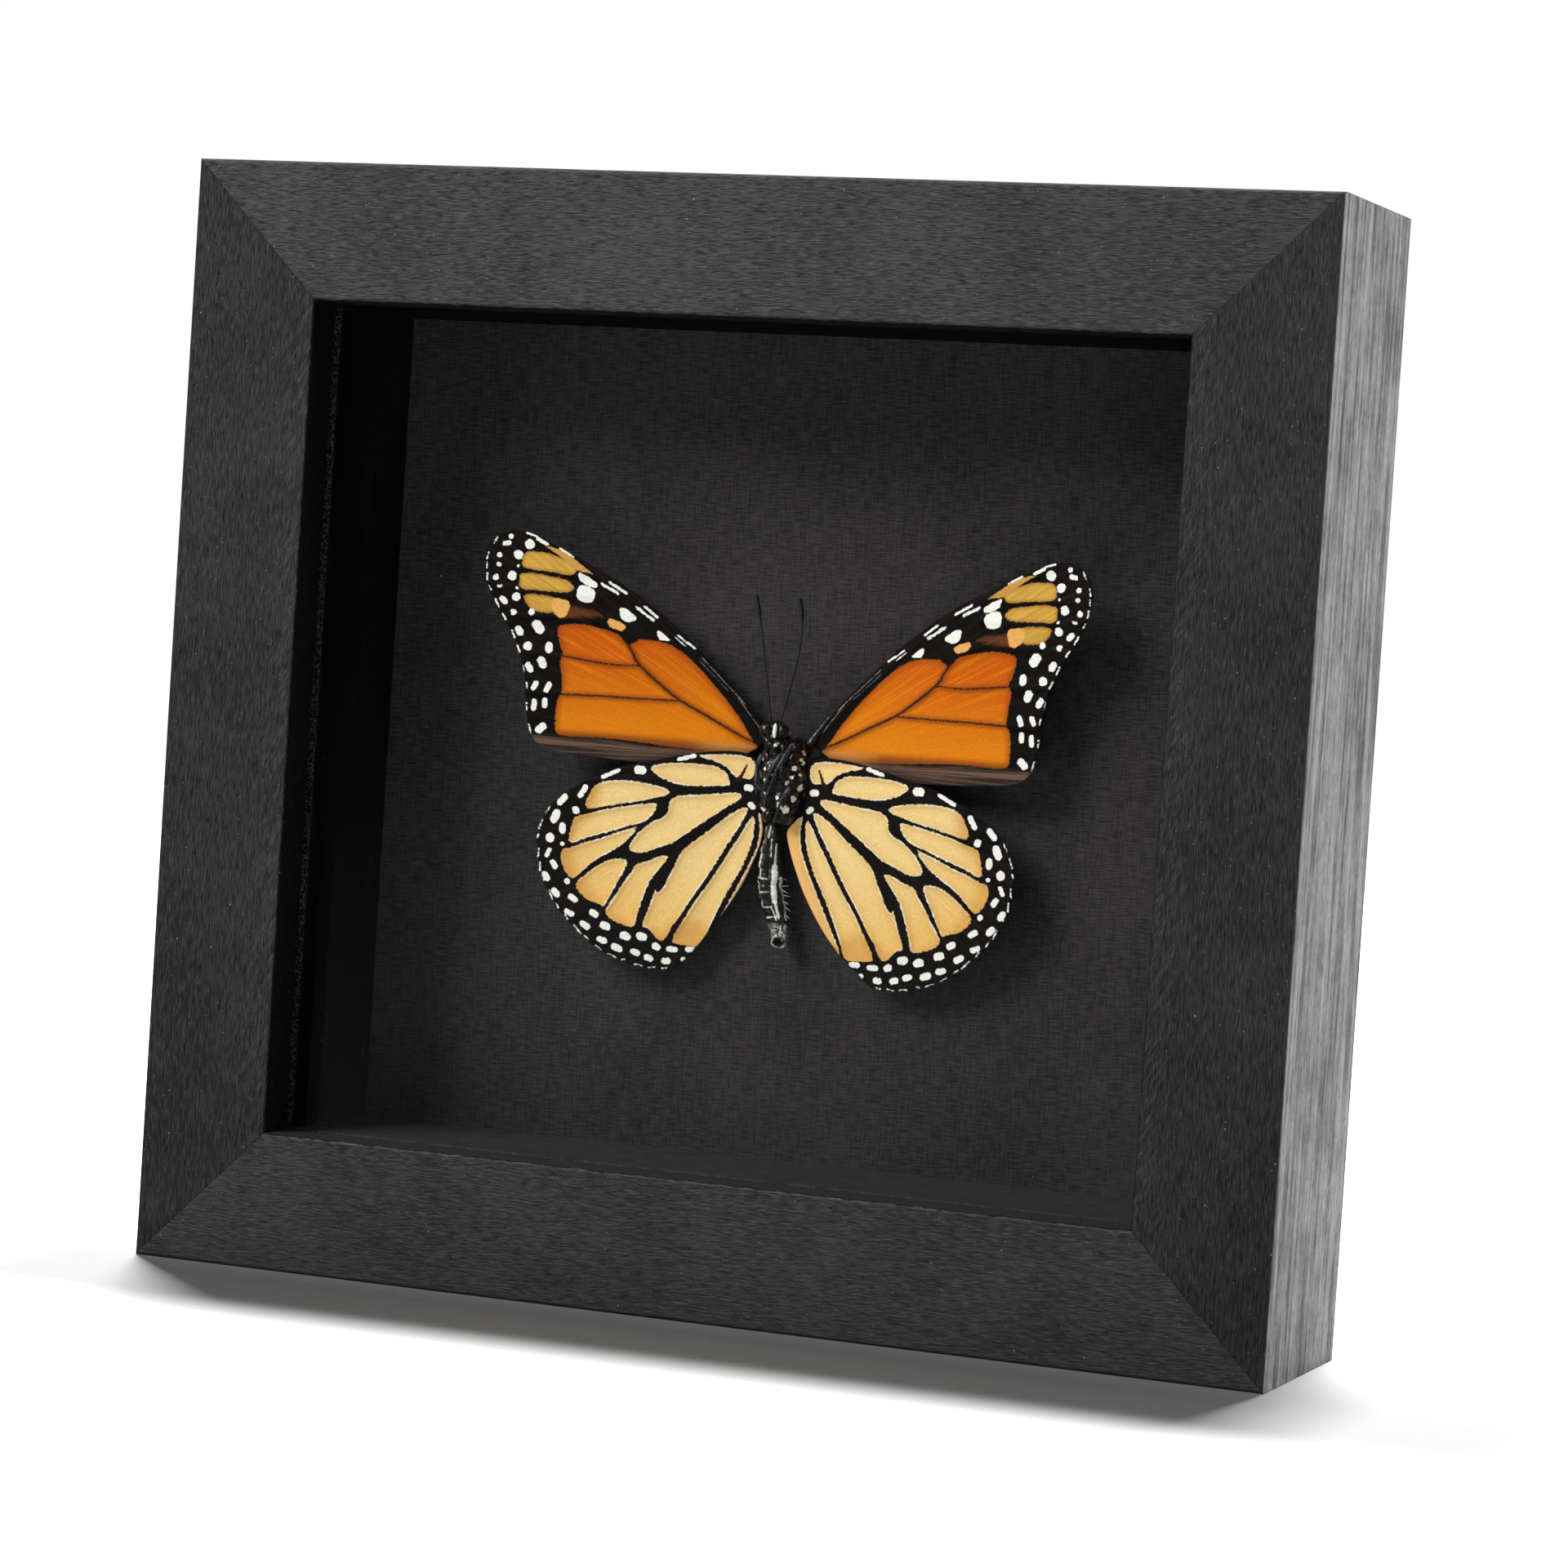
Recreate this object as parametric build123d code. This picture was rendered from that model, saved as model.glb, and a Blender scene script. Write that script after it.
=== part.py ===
from build123d import *
import math
import os

# A display case for one butterfly, to hang on a wall or stand on a shelf. All sizes are in millimetres.
# X runs to the right across the face, Y runs from the viewer into the case, and Z runs up.
# The origin is on the underside of the bottom rail, half way along it and half way deep.

# ---- Case: outside sizes and the section of its moulding
CASE_WIDTH = 176.0
CASE_HEIGHT = 165.0
CASE_DEPTH = 38.0
FACE_WIDTH = 20.5            # width of the moulding, seen from the front
LIP_DEPTH = 7.0              # wood in front of the glass
RABBET_WIDTH = 6.0           # how far the lip covers the glass and the liners
EDGE_EASE = 0.5              # radius on the long edges of the moulding

# ---- What lies in the rabbet, from front to back
GLASS_THICKNESS = 2.0
PAPER_THICKNESS = 0.4
MOUNT_BOARD_THICKNESS = 1.6
BACK_BOARD_THICKNESS = 2.0
PANE_CLEARANCE = 0.5         # round the glass, the paper and the boards
LINER_CLEARANCE = 0.1        # between a liner and the wood, and at the ends of the side liners

# ---- Corner nails: V-shaped, pressed in from behind across each mitre
CORNER_NAIL_LEG = 6.0
CORNER_NAIL_THICKNESS = 0.5
CORNER_NAIL_DEPTH = 10.0
CORNER_NAIL_INSET = 5.0      # from the two outer edges to the point of the V
NAIL_SLOT_CLEARANCE = 0.02

# ---- Turn buttons and their screws
BUTTON_REACH = 14.0          # pivot to the centre of the rounded tip
BUTTON_WIDTH = 8.0
BUTTON_THICKNESS = 1.0
BUTTON_RIB_HEIGHT = 0.6
BUTTON_RIB_WIDTH = 2.4
BUTTON_RIB_START = 5.0       # from the pivot to the centre of the rib's near end
BUTTON_GAP = 0.05            # between the button and the wood, and under the screw's head
BUTTON_FROM_END = 42.0       # from the top or bottom of the case to a pivot
SCREW_SHANK_RADIUS = 1.5
SCREW_LENGTH = 10.0          # below the head
SCREW_POINT_LENGTH = 2.5
SCREW_HEAD_RADIUS = 3.0
SCREW_HEAD_HEIGHT = 1.6
SCREW_HEAD_RIM = 0.5
SCREW_SLOT_WIDTH = 0.9
SCREW_SLOT_DEPTH = 0.8
BUTTON_BORE_CLEARANCE = 0.08
PILOT_CLEARANCE = 0.03       # between a screw or nail and the wood

# ---- Sawtooth hanger and its nails
HANGER_LENGTH = 45.0
HANGER_HEIGHT = 9.0
HANGER_THICKNESS = 0.8
HANGER_STANDOFF = 1.2        # how far the toothed bridge stands off the wood
HANGER_FOOT = 8.5            # flat length at each end
HANGER_RAMP = 2.5
TOOTH_COUNT = 11
TOOTH_HEIGHT = 2.0
HANGER_NAIL_RADIUS = 0.8
HANGER_NAIL_HEAD_RADIUS = 2.0
HANGER_NAIL_HEAD_HEIGHT = 0.7
HANGER_NAIL_HEAD_RIM = 0.2
HANGER_NAIL_LENGTH = 9.0
HANGER_NAIL_POINT_LENGTH = 1.6
HANGER_NAIL_CLEARANCE = 0.1

# ---- Rubber dots that keep the lower corners off a wall
BUMPER_RADIUS = 4.5
BUMPER_HEIGHT = 3.0
BUMPER_RIM = 1.8

# ---- Body of the specimen, seen from below, with its back to the paper
SPECIMEN_X = 0.3             # its mirror plane, from the middle of the case
THORAX_RADIUS = 3.6
THORAX_END_RADIUS = 1.5
THORAX_HALF_LENGTH = 6.3
THORAX_DROP = 4.8            # thorax centre below the middle of the case
PAD_HEIGHT = 0.9             # holds the thorax off the paper
PAD_RADIUS = 2.4
HEAD_RADIUS = 1.7
HEAD_SHIFT = -1.0            # the head has dried turned to the left
HEAD_RISE = 7.4              # head centre above the thorax centre
HEAD_FORWARD = 2.0           # and nearer to the viewer
EYE_RADIUS = 1.1
EYE_SPREAD = 1.35            # head centre to eye centre
SEAT_GAP = 0.05              # between pieces of the body that meet
ABDOMEN_LENGTH = 17.6
ABDOMEN_SHIFT = -0.9         # waist from the mirror plane
ABDOMEN_BEND = 1.9           # how far the tip has curled to the right
ABDOMEN_WAIST_RADIUS = 1.2
ABDOMEN_SWELL = 0.85
ABDOMEN_SEGMENTS = 8
SEGMENT_GROOVE = 0.12
ABDOMEN_FROM_PAPER = 3.2     # abdomen axis to the paper
TIP_HOLLOW_RADIUS = 0.9
ANTENNA_RADIUS = 0.17
ANTENNA_SPREAD = 0.7         # head centre to an antenna's root
ANTENNA_RISE = 20.2
ANTENNA_TIP_OUT = (4.5, 2.5)     # left and right tips from the head centre
ANTENNA_BOW = (0.3, 1.2)         # how far the middle bows outwards
CLUB_RADIUS = 0.32
CLUB_LENGTH = 3.2
LEG_RADIUS = 0.26
# Folded legs: where each joint lies on the thorax, in degrees round from its front and up from its centre.
LEG_FOLDS = (
    ((48, 5.7), (5, 1.6), (-16, -2.4)),
    ((12, 4.2), (-8, 1.4), (-22, -1.0)),
    ((-59, 4.0), (-62, 1.6), (-54, -0.6)),
    ((38, -0.6), (21, -2.6), (9, -4.6)),
)

# ---- Wings: thin blades on tilted planes, with raised veins on the near side
WING_THICKNESS = 0.3
VEIN_HEIGHT = 0.15
VEIN_WIDTH = 0.5
FOREWING_BEHIND = 3.1        # forewing root behind the thorax centre
HINDWING_BEHIND = 0.1
FOREWING_LIFT = (11.0, 9.0)  # degrees that the left and right tips rise towards the viewer
HINDWING_LIFT = (5.5, 5.5)
FOREWING_PITCH = 2.0         # degrees that the upper edge leans towards the viewer
HINDWING_PITCH = 3.0

# Outlines and veins: distance out from the mirror plane, and up from the level of the wing roots.
FOREWING_COSTA = ((3.1, 1.2), (4.5, 3.0), (8.0, 7.2), (13.0, 12.0), (19.0, 17.3), (25.5, 21.9),
                  (32.5, 25.7), (38.5, 28.5), (42.5, 30.0), (45.6, 30.0), (47.8, 28.6), (48.8, 26.0),
                  (48.5, 22.6), (47.0, 19.2), (44.4, 15.0), (42.5, 11.0), (41.6, 7.3), (41.3, 3.6),
                  (40.6, 0.2), (39.2, -1.7), (36.5, -2.7))
FOREWING_HIND = ((36.5, -2.7), (29.5, -3.3), (20.0, -3.6), (10.0, -3.2), (3.1, -2.9))
FOREWING_VEINS = (
    ((5.0, 0.0), (12.1, 3.1), (17.8, 5.9), (23.9, 10.8), (26.1, 14.3)),      # cubitus
    ((18.1, 6.1), (26.8, 6.0), (35.9, 5.9), (40.9, 5.8)),
    ((24.2, 11.0), (29.8, 11.3), (35.9, 11.8), (42.0, 12.0)),
    ((5.0, 1.4), (9.4, 7.2), (16.0, 13.4), (24.9, 20.2), (34.1, 25.6)),      # radius
    ((26.2, 14.4), (30.1, 16.9), (35.0, 17.6), (45.0, 17.2)),
    ((25.1, 20.3), (33.0, 20.9), (42.5, 21.4), (47.0, 22.2)),
)
HINDWING_COSTA = ((4.0, -5.2), (4.2, -2.2), (6.0, -1.0), (9.5, -0.9), (14.3, -1.6),
                  (20.0, -3.0), (25.5, -4.4), (30.0, -6.4), (34.0, -8.9), (36.9, -11.7),
                  (38.3, -15.0), (38.2, -18.5), (37.5, -21.8), (35.5, -25.5), (32.3, -28.9),
                  (28.5, -31.9), (24.5, -33.7), (19.8, -34.6), (16.0, -34.3), (13.6, -32.4))
# The inner margin of a hindwing follows the abdomen, which has dried to the left of the mirror plane, so
# the right wing reaches further in than the left one does.
HINDWING_INNER = ((13.6, -32.4), (11.2, -29.8), (8.4, -26.2), (5.4, -21.5), (3.6, -17.5), (2.5, -14.4),
                  (2.2, -12.2), (2.9, -10.4), (3.5, -8.4), (4.0, -5.2))
HINDWING_INNER_SHIFT = (0.6, -1.2)
HINDWING_INNER_SHARE = (0.0, 0.7, 1.0, 1.0, 1.0, 1.0, 1.0, 0.3, 0.0, 0.0)     # of that shift, at each point
HINDWING_VEINS = (
    ((4.5, -6.0), (10.5, -6.5), (14.6, -7.0), (17.0, -8.1), (18.6, -10.8), (22.1, -13.3), (23.6, -16.9)),
    ((4.4, -8.3), (10.1, -11.9), (15.2, -15.7), (19.6, -17.3), (23.4, -17.2)),
    ((17.2, -8.3), (22.8, -9.3), (31.1, -11.5), (36.0, -13.4)),
    ((19.0, -11.1), (25.5, -13.8), (33.2, -17.1), (37.4, -19.0)),
    ((23.8, -17.0), (28.4, -19.4), (32.0, -22.5), (34.4, -25.4)),
    ((22.8, -17.6), (25.0, -21.5), (27.2, -26.0), (28.6, -31.0)),
    ((16.0, -16.4), (17.9, -20.1), (20.0, -23.0), (21.6, -33.5)),
    ((4.4, -9.4), (8.4, -15.4), (12.6, -21.4), (17.0, -33.0)),
    ((3.9, -10.4), (4.6, -14.8), (7.2, -21.2), (12.9, -30.6)),
)

# ---- Places worked out from the sizes above
FRONT_Y = -CASE_DEPTH / 2
REAR_Y = CASE_DEPTH / 2
MIDDLE_Z = CASE_HEIGHT / 2
GLASS_Y = FRONT_Y + LIP_DEPTH
LINER_Y = GLASS_Y + GLASS_THICKNESS
BACK_BOARD_Y = REAR_Y - BACK_BOARD_THICKNESS
MOUNT_BOARD_Y = BACK_BOARD_Y - MOUNT_BOARD_THICKNESS
PAPER_Y = MOUNT_BOARD_Y - PAPER_THICKNESS
LEDGE = FACE_WIDTH - RABBET_WIDTH            # wood left outside the rabbet
RABBET_HALF_WIDTH = CASE_WIDTH / 2 - LEDGE
RABBET_HALF_HEIGHT = CASE_HEIGHT / 2 - LEDGE
PIVOT_X = CASE_WIDTH / 2 - LEDGE / 2
PIVOTS = [(side * PIVOT_X, z) for z in (BUTTON_FROM_END, CASE_HEIGHT - BUTTON_FROM_END)
          for side in (-1, 1)]
HANGER_Z = CASE_HEIGHT - LEDGE / 2
HANGER_NAIL_X = HANGER_LENGTH / 2 - HANGER_FOOT / 2
THORAX_Y = PAPER_Y - PAD_HEIGHT - THORAX_RADIUS
THORAX_Z = MIDDLE_Z - THORAX_DROP
HEAD_CENTRE = (SPECIMEN_X + HEAD_SHIFT, THORAX_Y - HEAD_FORWARD, THORAX_Z + HEAD_RISE)


# ---- Ways of making a solid

def slab(outline, front_y, rear_y):
    """An outline drawn in X and Z, made solid between two depths."""
    return extrude(Plane.XZ.offset(-rear_y) * outline, amount=rear_y - front_y)


def block(x_low, x_high, front_y, rear_y, z_low, z_high):
    """A rectangular piece between two corners."""
    outline = Pos((x_low + x_high) / 2, (z_low + z_high) / 2) * Rectangle(x_high - x_low, z_high - z_low)
    return slab(outline, front_y, rear_y)


def rearward(solid, x, y, z):
    """Stand a solid that was made along Z on a rear face, so that it points away from the viewer."""
    return Pos(x, y, z) * Rot(-90, 0, 0) * solid


def dome(radius, rim, top):
    """Half the outline of a domed cap: a ball's arc from the top of its rim to its crown on the axis."""
    rise = top - rim
    ball = (radius ** 2 + rise ** 2) / (2 * rise)
    half_way = math.asin(radius / ball) / 2
    middle = (ball * math.sin(half_way), top - ball + ball * math.cos(half_way))
    return ThreePointArc((radius, rim), middle, (0, top))


def driven_pin(shank, length, point, head, head_height, rim):
    """A nail or screw along Z: its point is down and the underside of its head is at zero."""
    half = make_face([
        Polyline((0, head_height), (0, -length), (shank, point - length), (shank, 0), (head, 0), (head, rim)),
        dome(head, rim, head_height),
    ])
    return revolve(Plane.XZ * half, Axis.Z)


def tube_between(start, end, radius):
    """A straight round bar between two points."""
    run = Vector(*end) - Vector(*start)
    return Plane(origin=start, z_dir=run) * Cylinder(
        radius, run.length, align=(Align.CENTER, Align.CENTER, Align.MIN))


# ---- The wooden frame

def corner_nail_outline(clearance):
    """The V of one nail, in the lower left corner, seen from the front."""
    near = CORNER_NAIL_INSET - clearance
    far = CORNER_NAIL_INSET + CORNER_NAIL_LEG + clearance
    inner = CORNER_NAIL_INSET + CORNER_NAIL_THICKNESS + clearance
    return make_face(Polyline((near, near), (far, near), (far, inner), (inner, inner), (inner, far),
                              (near, far), close=True))


def at_every_corner(outline, depth):
    """Copies of a lower left corner's outline in all four corners, made solid from the rear face."""
    solid = Pos(-CASE_WIDTH / 2, 0, 0) * slab(outline, REAR_Y - depth, REAR_Y)
    pair = [solid, mirror(solid, about=Plane.YZ)]
    return pair + [mirror(piece, about=Plane.XY.offset(MIDDLE_Z)) for piece in pair]


def moulding(length):
    """One length of moulding along X with its outer edge down, mitred at both ends."""
    section = make_face(Polyline(
        (FRONT_Y, 0), (REAR_Y, 0), (REAR_Y, LEDGE), (GLASS_Y, LEDGE), (GLASS_Y, FACE_WIDTH),
        (FRONT_Y, FACE_WIDTH), close=True))
    front_corners = section.vertices().sort_by(Axis.X)[:2]
    rear_corner = section.vertices().sort_by(Axis.X)[-2:].sort_by(Axis.Y)[0]
    section = fillet(list(front_corners) + [rear_corner], EDGE_EASE)
    bar = extrude(Plane.YZ.offset(-length / 2) * section, amount=length)
    mitred = make_face(Polyline(
        (-length / 2, 0), (length / 2, 0), (length / 2 - FACE_WIDTH, FACE_WIDTH),
        (FACE_WIDTH - length / 2, FACE_WIDTH), close=True))
    return bar & slab(mitred, FRONT_Y, REAR_Y)


def frame_members():
    """The four lengths of moulding, slotted for the corner nails and drilled for screws and nails."""
    rail = moulding(CASE_WIDTH)
    stile = moulding(CASE_HEIGHT)
    members = {
        "rail_bottom": rail,
        "rail_top": Pos(0, 0, CASE_HEIGHT) * Rot(0, 180, 0) * rail,
        "stile_left": Pos(-CASE_WIDTH / 2, 0, MIDDLE_Z) * Rot(0, 90, 0) * stile,
        "stile_right": Pos(CASE_WIDTH / 2, 0, MIDDLE_Z) * Rot(0, -90, 0) * stile,
    }
    cuts = at_every_corner(corner_nail_outline(NAIL_SLOT_CLEARANCE), CORNER_NAIL_DEPTH + NAIL_SLOT_CLEARANCE)
    pilot = driven_pin(SCREW_SHANK_RADIUS + PILOT_CLEARANCE, SCREW_LENGTH, SCREW_POINT_LENGTH,
                       SCREW_HEAD_RADIUS, SCREW_HEAD_HEIGHT, SCREW_HEAD_RIM)
    cuts += [rearward(pilot, x, REAR_Y, z) for x, z in PIVOTS]
    nail_hole = driven_pin(HANGER_NAIL_RADIUS + PILOT_CLEARANCE, HANGER_NAIL_LENGTH, HANGER_NAIL_POINT_LENGTH,
                           HANGER_NAIL_HEAD_RADIUS, HANGER_NAIL_HEAD_HEIGHT, HANGER_NAIL_HEAD_RIM)
    cuts += [rearward(nail_hole, side * HANGER_NAIL_X, REAR_Y, HANGER_Z) for side in (-1, 1)]
    return {name: member - cuts for name, member in members.items()}


def corner_nails():
    """Four V-shaped nails, flush with the rear of the moulding."""
    return Compound(children=at_every_corner(corner_nail_outline(0.0), CORNER_NAIL_DEPTH))


# ---- What fills the rabbet

def pane(front_y, thickness):
    """A sheet that drops into the rabbet with clearance all round."""
    half_width = RABBET_HALF_WIDTH - PANE_CLEARANCE
    half_height = RABBET_HALF_HEIGHT - PANE_CLEARANCE
    return block(-half_width, half_width, front_y, front_y + thickness,
                 MIDDLE_Z - half_height, MIDDLE_Z + half_height)


def liners():
    """The four strips round the inside: long ones above and below, short ones between them."""
    reach = RABBET_HALF_WIDTH - LINER_CLEARANCE
    sight_x = CASE_WIDTH / 2 - FACE_WIDTH
    floor_z = LEDGE + LINER_CLEARANCE
    bottom = block(-reach, reach, LINER_Y, PAPER_Y, floor_z, FACE_WIDTH)
    right = block(sight_x, reach, LINER_Y, PAPER_Y,
                  FACE_WIDTH + LINER_CLEARANCE, CASE_HEIGHT - FACE_WIDTH - LINER_CLEARANCE)
    return {
        "liner_bottom": bottom,
        "liner_top": mirror(bottom, about=Plane.XY.offset(MIDDLE_Z)),
        "liner_right": right,
        "liner_left": mirror(right, about=Plane.YZ),
    }


# ---- Hardware on the rear face

def turn_button(pivot_x, pivot_z):
    """A stamped steel button that points at the middle of the case, with a pressed rib."""
    centre = BUTTON_REACH / 2
    plate = extrude(Pos(centre, 0) * SlotCenterToCenter(BUTTON_REACH, BUTTON_WIDTH), amount=BUTTON_THICKNESS)
    plate = fillet(plate.edges().group_by(Axis.Z)[-1], BUTTON_THICKNESS * 0.3)
    rib_length = BUTTON_REACH - BUTTON_RIB_START
    rib_outline = Pos(BUTTON_RIB_START + rib_length / 2, 0) * SlotCenterToCenter(rib_length, BUTTON_RIB_WIDTH)
    rib = extrude(rib_outline, amount=BUTTON_THICKNESS + BUTTON_RIB_HEIGHT)
    rib = fillet(rib.edges().group_by(Axis.Z)[-1], BUTTON_RIB_HEIGHT * 0.8)
    bore = Cylinder(SCREW_SHANK_RADIUS + BUTTON_BORE_CLEARANCE, 4 * BUTTON_THICKNESS)
    button = plate + rib - bore
    if pivot_x > 0:
        button = Rot(0, 0, 180) * button
    return rearward(button, pivot_x, REAR_Y + BUTTON_GAP, pivot_z)


def turn_button_screws():
    """Four slotted screws, each with its head just clear of a button."""
    screw = driven_pin(SCREW_SHANK_RADIUS, SCREW_LENGTH, SCREW_POINT_LENGTH, SCREW_HEAD_RADIUS,
                       SCREW_HEAD_HEIGHT, SCREW_HEAD_RIM)
    slot = Pos(0, 0, SCREW_HEAD_HEIGHT) * Box(3 * SCREW_HEAD_RADIUS, SCREW_SLOT_WIDTH, 2 * SCREW_SLOT_DEPTH)
    screw -= slot
    head_y = REAR_Y + BUTTON_THICKNESS + 2 * BUTTON_GAP
    return Compound(children=[rearward(screw, x, head_y, z) for x, z in PIVOTS])


def sawtooth_hanger():
    """A steel strip whose feet lie on the top rail and whose bridge has teeth along its lower edge."""
    end = HANGER_LENGTH / 2
    ramp_start = end - HANGER_FOOT
    bridge = ramp_start - HANGER_RAMP
    low, high = REAR_Y, REAR_Y + HANGER_STANDOFF
    bent = [(-end, low), (-ramp_start, low), (-bridge, high), (bridge, high), (ramp_start, low), (end, low)]
    outer = [(x, y + HANGER_THICKNESS) for x, y in reversed(bent)]
    strip = extrude(Plane.XY.offset(HANGER_Z - HANGER_HEIGHT / 2) * make_face(Polyline(*bent, *outer, close=True)),
                    amount=HANGER_HEIGHT)
    blank = RectangleRounded(HANGER_LENGTH, HANGER_HEIGHT, HANGER_HEIGHT / 3)
    pitch = 2 * bridge / TOOTH_COUNT
    lower = -HANGER_HEIGHT / 2
    for tooth in range(TOOTH_COUNT):
        left = -bridge + tooth * pitch
        blank -= make_face(Polyline((left, lower), (left + pitch, lower),
                                    (left + pitch / 2, lower + TOOTH_HEIGHT), close=True))
    for side in (-1, 1):
        blank -= Pos(side * HANGER_NAIL_X, 0) * Circle(HANGER_NAIL_RADIUS + HANGER_NAIL_CLEARANCE)
    return strip & Pos(0, 0, HANGER_Z) * slab(blank, low, high + HANGER_THICKNESS)


def hanger_nails():
    """Two round-headed nails that hold the hanger's feet down."""
    nail = driven_pin(HANGER_NAIL_RADIUS, HANGER_NAIL_LENGTH - HANGER_THICKNESS, HANGER_NAIL_POINT_LENGTH,
                      HANGER_NAIL_HEAD_RADIUS, HANGER_NAIL_HEAD_HEIGHT, HANGER_NAIL_HEAD_RIM)
    return Compound(children=[
        rearward(nail, side * HANGER_NAIL_X, REAR_Y + HANGER_THICKNESS, HANGER_Z) for side in (-1, 1)])


def wall_bumpers():
    """Two crowned rubber dots on the lower corners."""
    half = make_face([
        Polyline((0, BUMPER_HEIGHT), (0, 0), (BUMPER_RADIUS, 0), (BUMPER_RADIUS, BUMPER_RIM)),
        dome(BUMPER_RADIUS, BUMPER_RIM, BUMPER_HEIGHT),
    ])
    dot = revolve(Plane.XZ * half, Axis.Z)
    return Compound(children=[rearward(dot, side * PIVOT_X, REAR_Y, LEDGE / 2) for side in (-1, 1)])


# ---- The specimen's body

def thorax_radius(up):
    """Its radius at a height from its centre: the side of the barrel is a single arc."""
    swell = THORAX_RADIUS - THORAX_END_RADIUS
    arc = (swell ** 2 + THORAX_HALF_LENGTH ** 2) / (2 * swell)
    return THORAX_RADIUS - arc + math.sqrt(arc ** 2 - up ** 2)


def thorax(grow=0.0):
    """A barrel, flat where the head and the abdomen join it. It is grown where a piece is to clear it."""
    end = THORAX_END_RADIUS + grow
    top = THORAX_HALF_LENGTH + grow
    half = make_face([Polyline((end, -top), (0, -top), (0, top), (end, top)),
                      ThreePointArc((end, top), (THORAX_RADIUS + grow, 0), (end, -top))])
    return Pos(SPECIMEN_X, THORAX_Y, THORAX_Z) * revolve(Plane.XZ * half, Axis.Z)


def specimen_pad():
    """A small tapered pad between the paper and the thorax, shaped to the back that it carries."""
    pad = Cone(PAD_RADIUS, PAD_RADIUS * 0.8, THORAX_RADIUS, align=(Align.CENTER, Align.CENTER, Align.MIN))
    placed = Pos(SPECIMEN_X, PAPER_Y, THORAX_Z) * Rot(90, 0, 0) * pad
    return placed - thorax(SEAT_GAP)


def head():
    """A round head, tipped towards the viewer."""
    return Pos(*HEAD_CENTRE) * Sphere(HEAD_RADIUS) - thorax(SEAT_GAP)


def compound_eyes():
    """Two eyes, seated in the sides of the head."""
    x, y, z = HEAD_CENTRE
    left = Pos(x - EYE_SPREAD, y, z) * Sphere(EYE_RADIUS) - Pos(x, y, z) * Sphere(HEAD_RADIUS + SEAT_GAP)
    return Compound(children=[left, mirror(left, about=Plane.YZ.offset(x))])


def abdomen():
    """A ringed abdomen that curls to the right and ends in a small hollow."""
    steps = 2 * ABDOMEN_SEGMENTS
    rings = []
    for step in range(steps + 1):
        along = step / steps
        turn = min(max((along - 0.1) / 0.6, 0.0), 1.0)
        x = SPECIMEN_X + ABDOMEN_SHIFT + ABDOMEN_BEND * (1 - math.cos(math.pi * turn)) / 2
        z = THORAX_Z - THORAX_HALF_LENGTH - SEAT_GAP - ABDOMEN_LENGTH * along
        radius = ABDOMEN_WAIST_RADIUS + ABDOMEN_SWELL * math.sin(math.pi * along)
        if step % 2 == 0:
            radius -= SEGMENT_GROOVE
        rings.append(Pos(x, PAPER_Y - ABDOMEN_FROM_PAPER, z) * Circle(radius))
    tip = rings[-1].center()
    hollow = Pos(tip.X, tip.Y - ABDOMEN_WAIST_RADIUS, tip.Z + TIP_HOLLOW_RADIUS) * Sphere(TIP_HOLLOW_RADIUS)
    return loft(rings, ruled=True) - hollow


def antenna(side, out, bow):
    """A bowed stalk from the crown of the head, thicker towards its tip."""
    x, y, z = HEAD_CENTRE
    root = (x + side * ANTENNA_SPREAD, y, z + HEAD_RADIUS * 0.7)
    tip = (x + side * out, y, z + ANTENNA_RISE)
    middle = ((root[0] + tip[0]) / 2 + side * bow, y, (root[2] + tip[2]) / 2)
    stalk = ThreePointArc(root, middle, tip)
    tube = sweep(Plane(origin=root, z_dir=stalk % 0) * Circle(ANTENNA_RADIUS), path=stalk)
    club_start = Vector(*tip) - (stalk % 1) * CLUB_LENGTH
    club = tube_between(club_start, tip, CLUB_RADIUS)
    ends = [Pos(*place) * Sphere(CLUB_RADIUS) for place in (club_start, tip)]
    return tube + club + ends - Pos(*HEAD_CENTRE) * Sphere(HEAD_RADIUS + SEAT_GAP)


def on_thorax(turn, up):
    """The middle of a leg that lies on the near side of the thorax."""
    reach = thorax_radius(up) + LEG_RADIUS
    turn = math.radians(turn)
    return (SPECIMEN_X + reach * math.sin(turn), THORAX_Y - reach * math.cos(turn), THORAX_Z + up)


def legs():
    """Four walking legs folded along the thorax, each a chain of straight joints."""
    chains = []
    for fold in LEG_FOLDS:
        places = [on_thorax(turn, up) for turn, up in fold]
        chain = [tube_between(a, b, LEG_RADIUS) for a, b in zip(places, places[1:])]
        chain += [Pos(*place) * Sphere(LEG_RADIUS) for place in places]
        chains.append(Part() + chain - thorax(SEAT_GAP))
    return chains


# ---- The wings

def wing_blade(leading, trailing, veins):
    """A flat blade with raised veins, drawn outwards along X and up along Y, with its near side up."""
    edges = [Spline(*leading), Spline(*trailing)]
    if trailing[-1] != leading[0]:
        edges.append(Line(trailing[-1], leading[0]))
    blade = extrude(make_face(edges), amount=WING_THICKNESS)
    ridges = Sketch() + [trace(Spline(*vein), line_width=VEIN_WIDTH) for vein in veins]
    return blade + Pos(0, 0, WING_THICKNESS) * extrude(ridges, amount=VEIN_HEIGHT)


def seat_wing(blade, side, root_y, lift, pitch):
    """Tilt a blade and put its root on the left or right of the body."""
    tilted = Pos(0, root_y, MIDDLE_Z) * Rot(0, 0, -lift) * Rot(90 + pitch, 0, 0) * blade
    if side < 0:
        tilted = mirror(tilted, about=Plane.YZ)
    return Pos(SPECIMEN_X, 0, 0) * tilted


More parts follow.
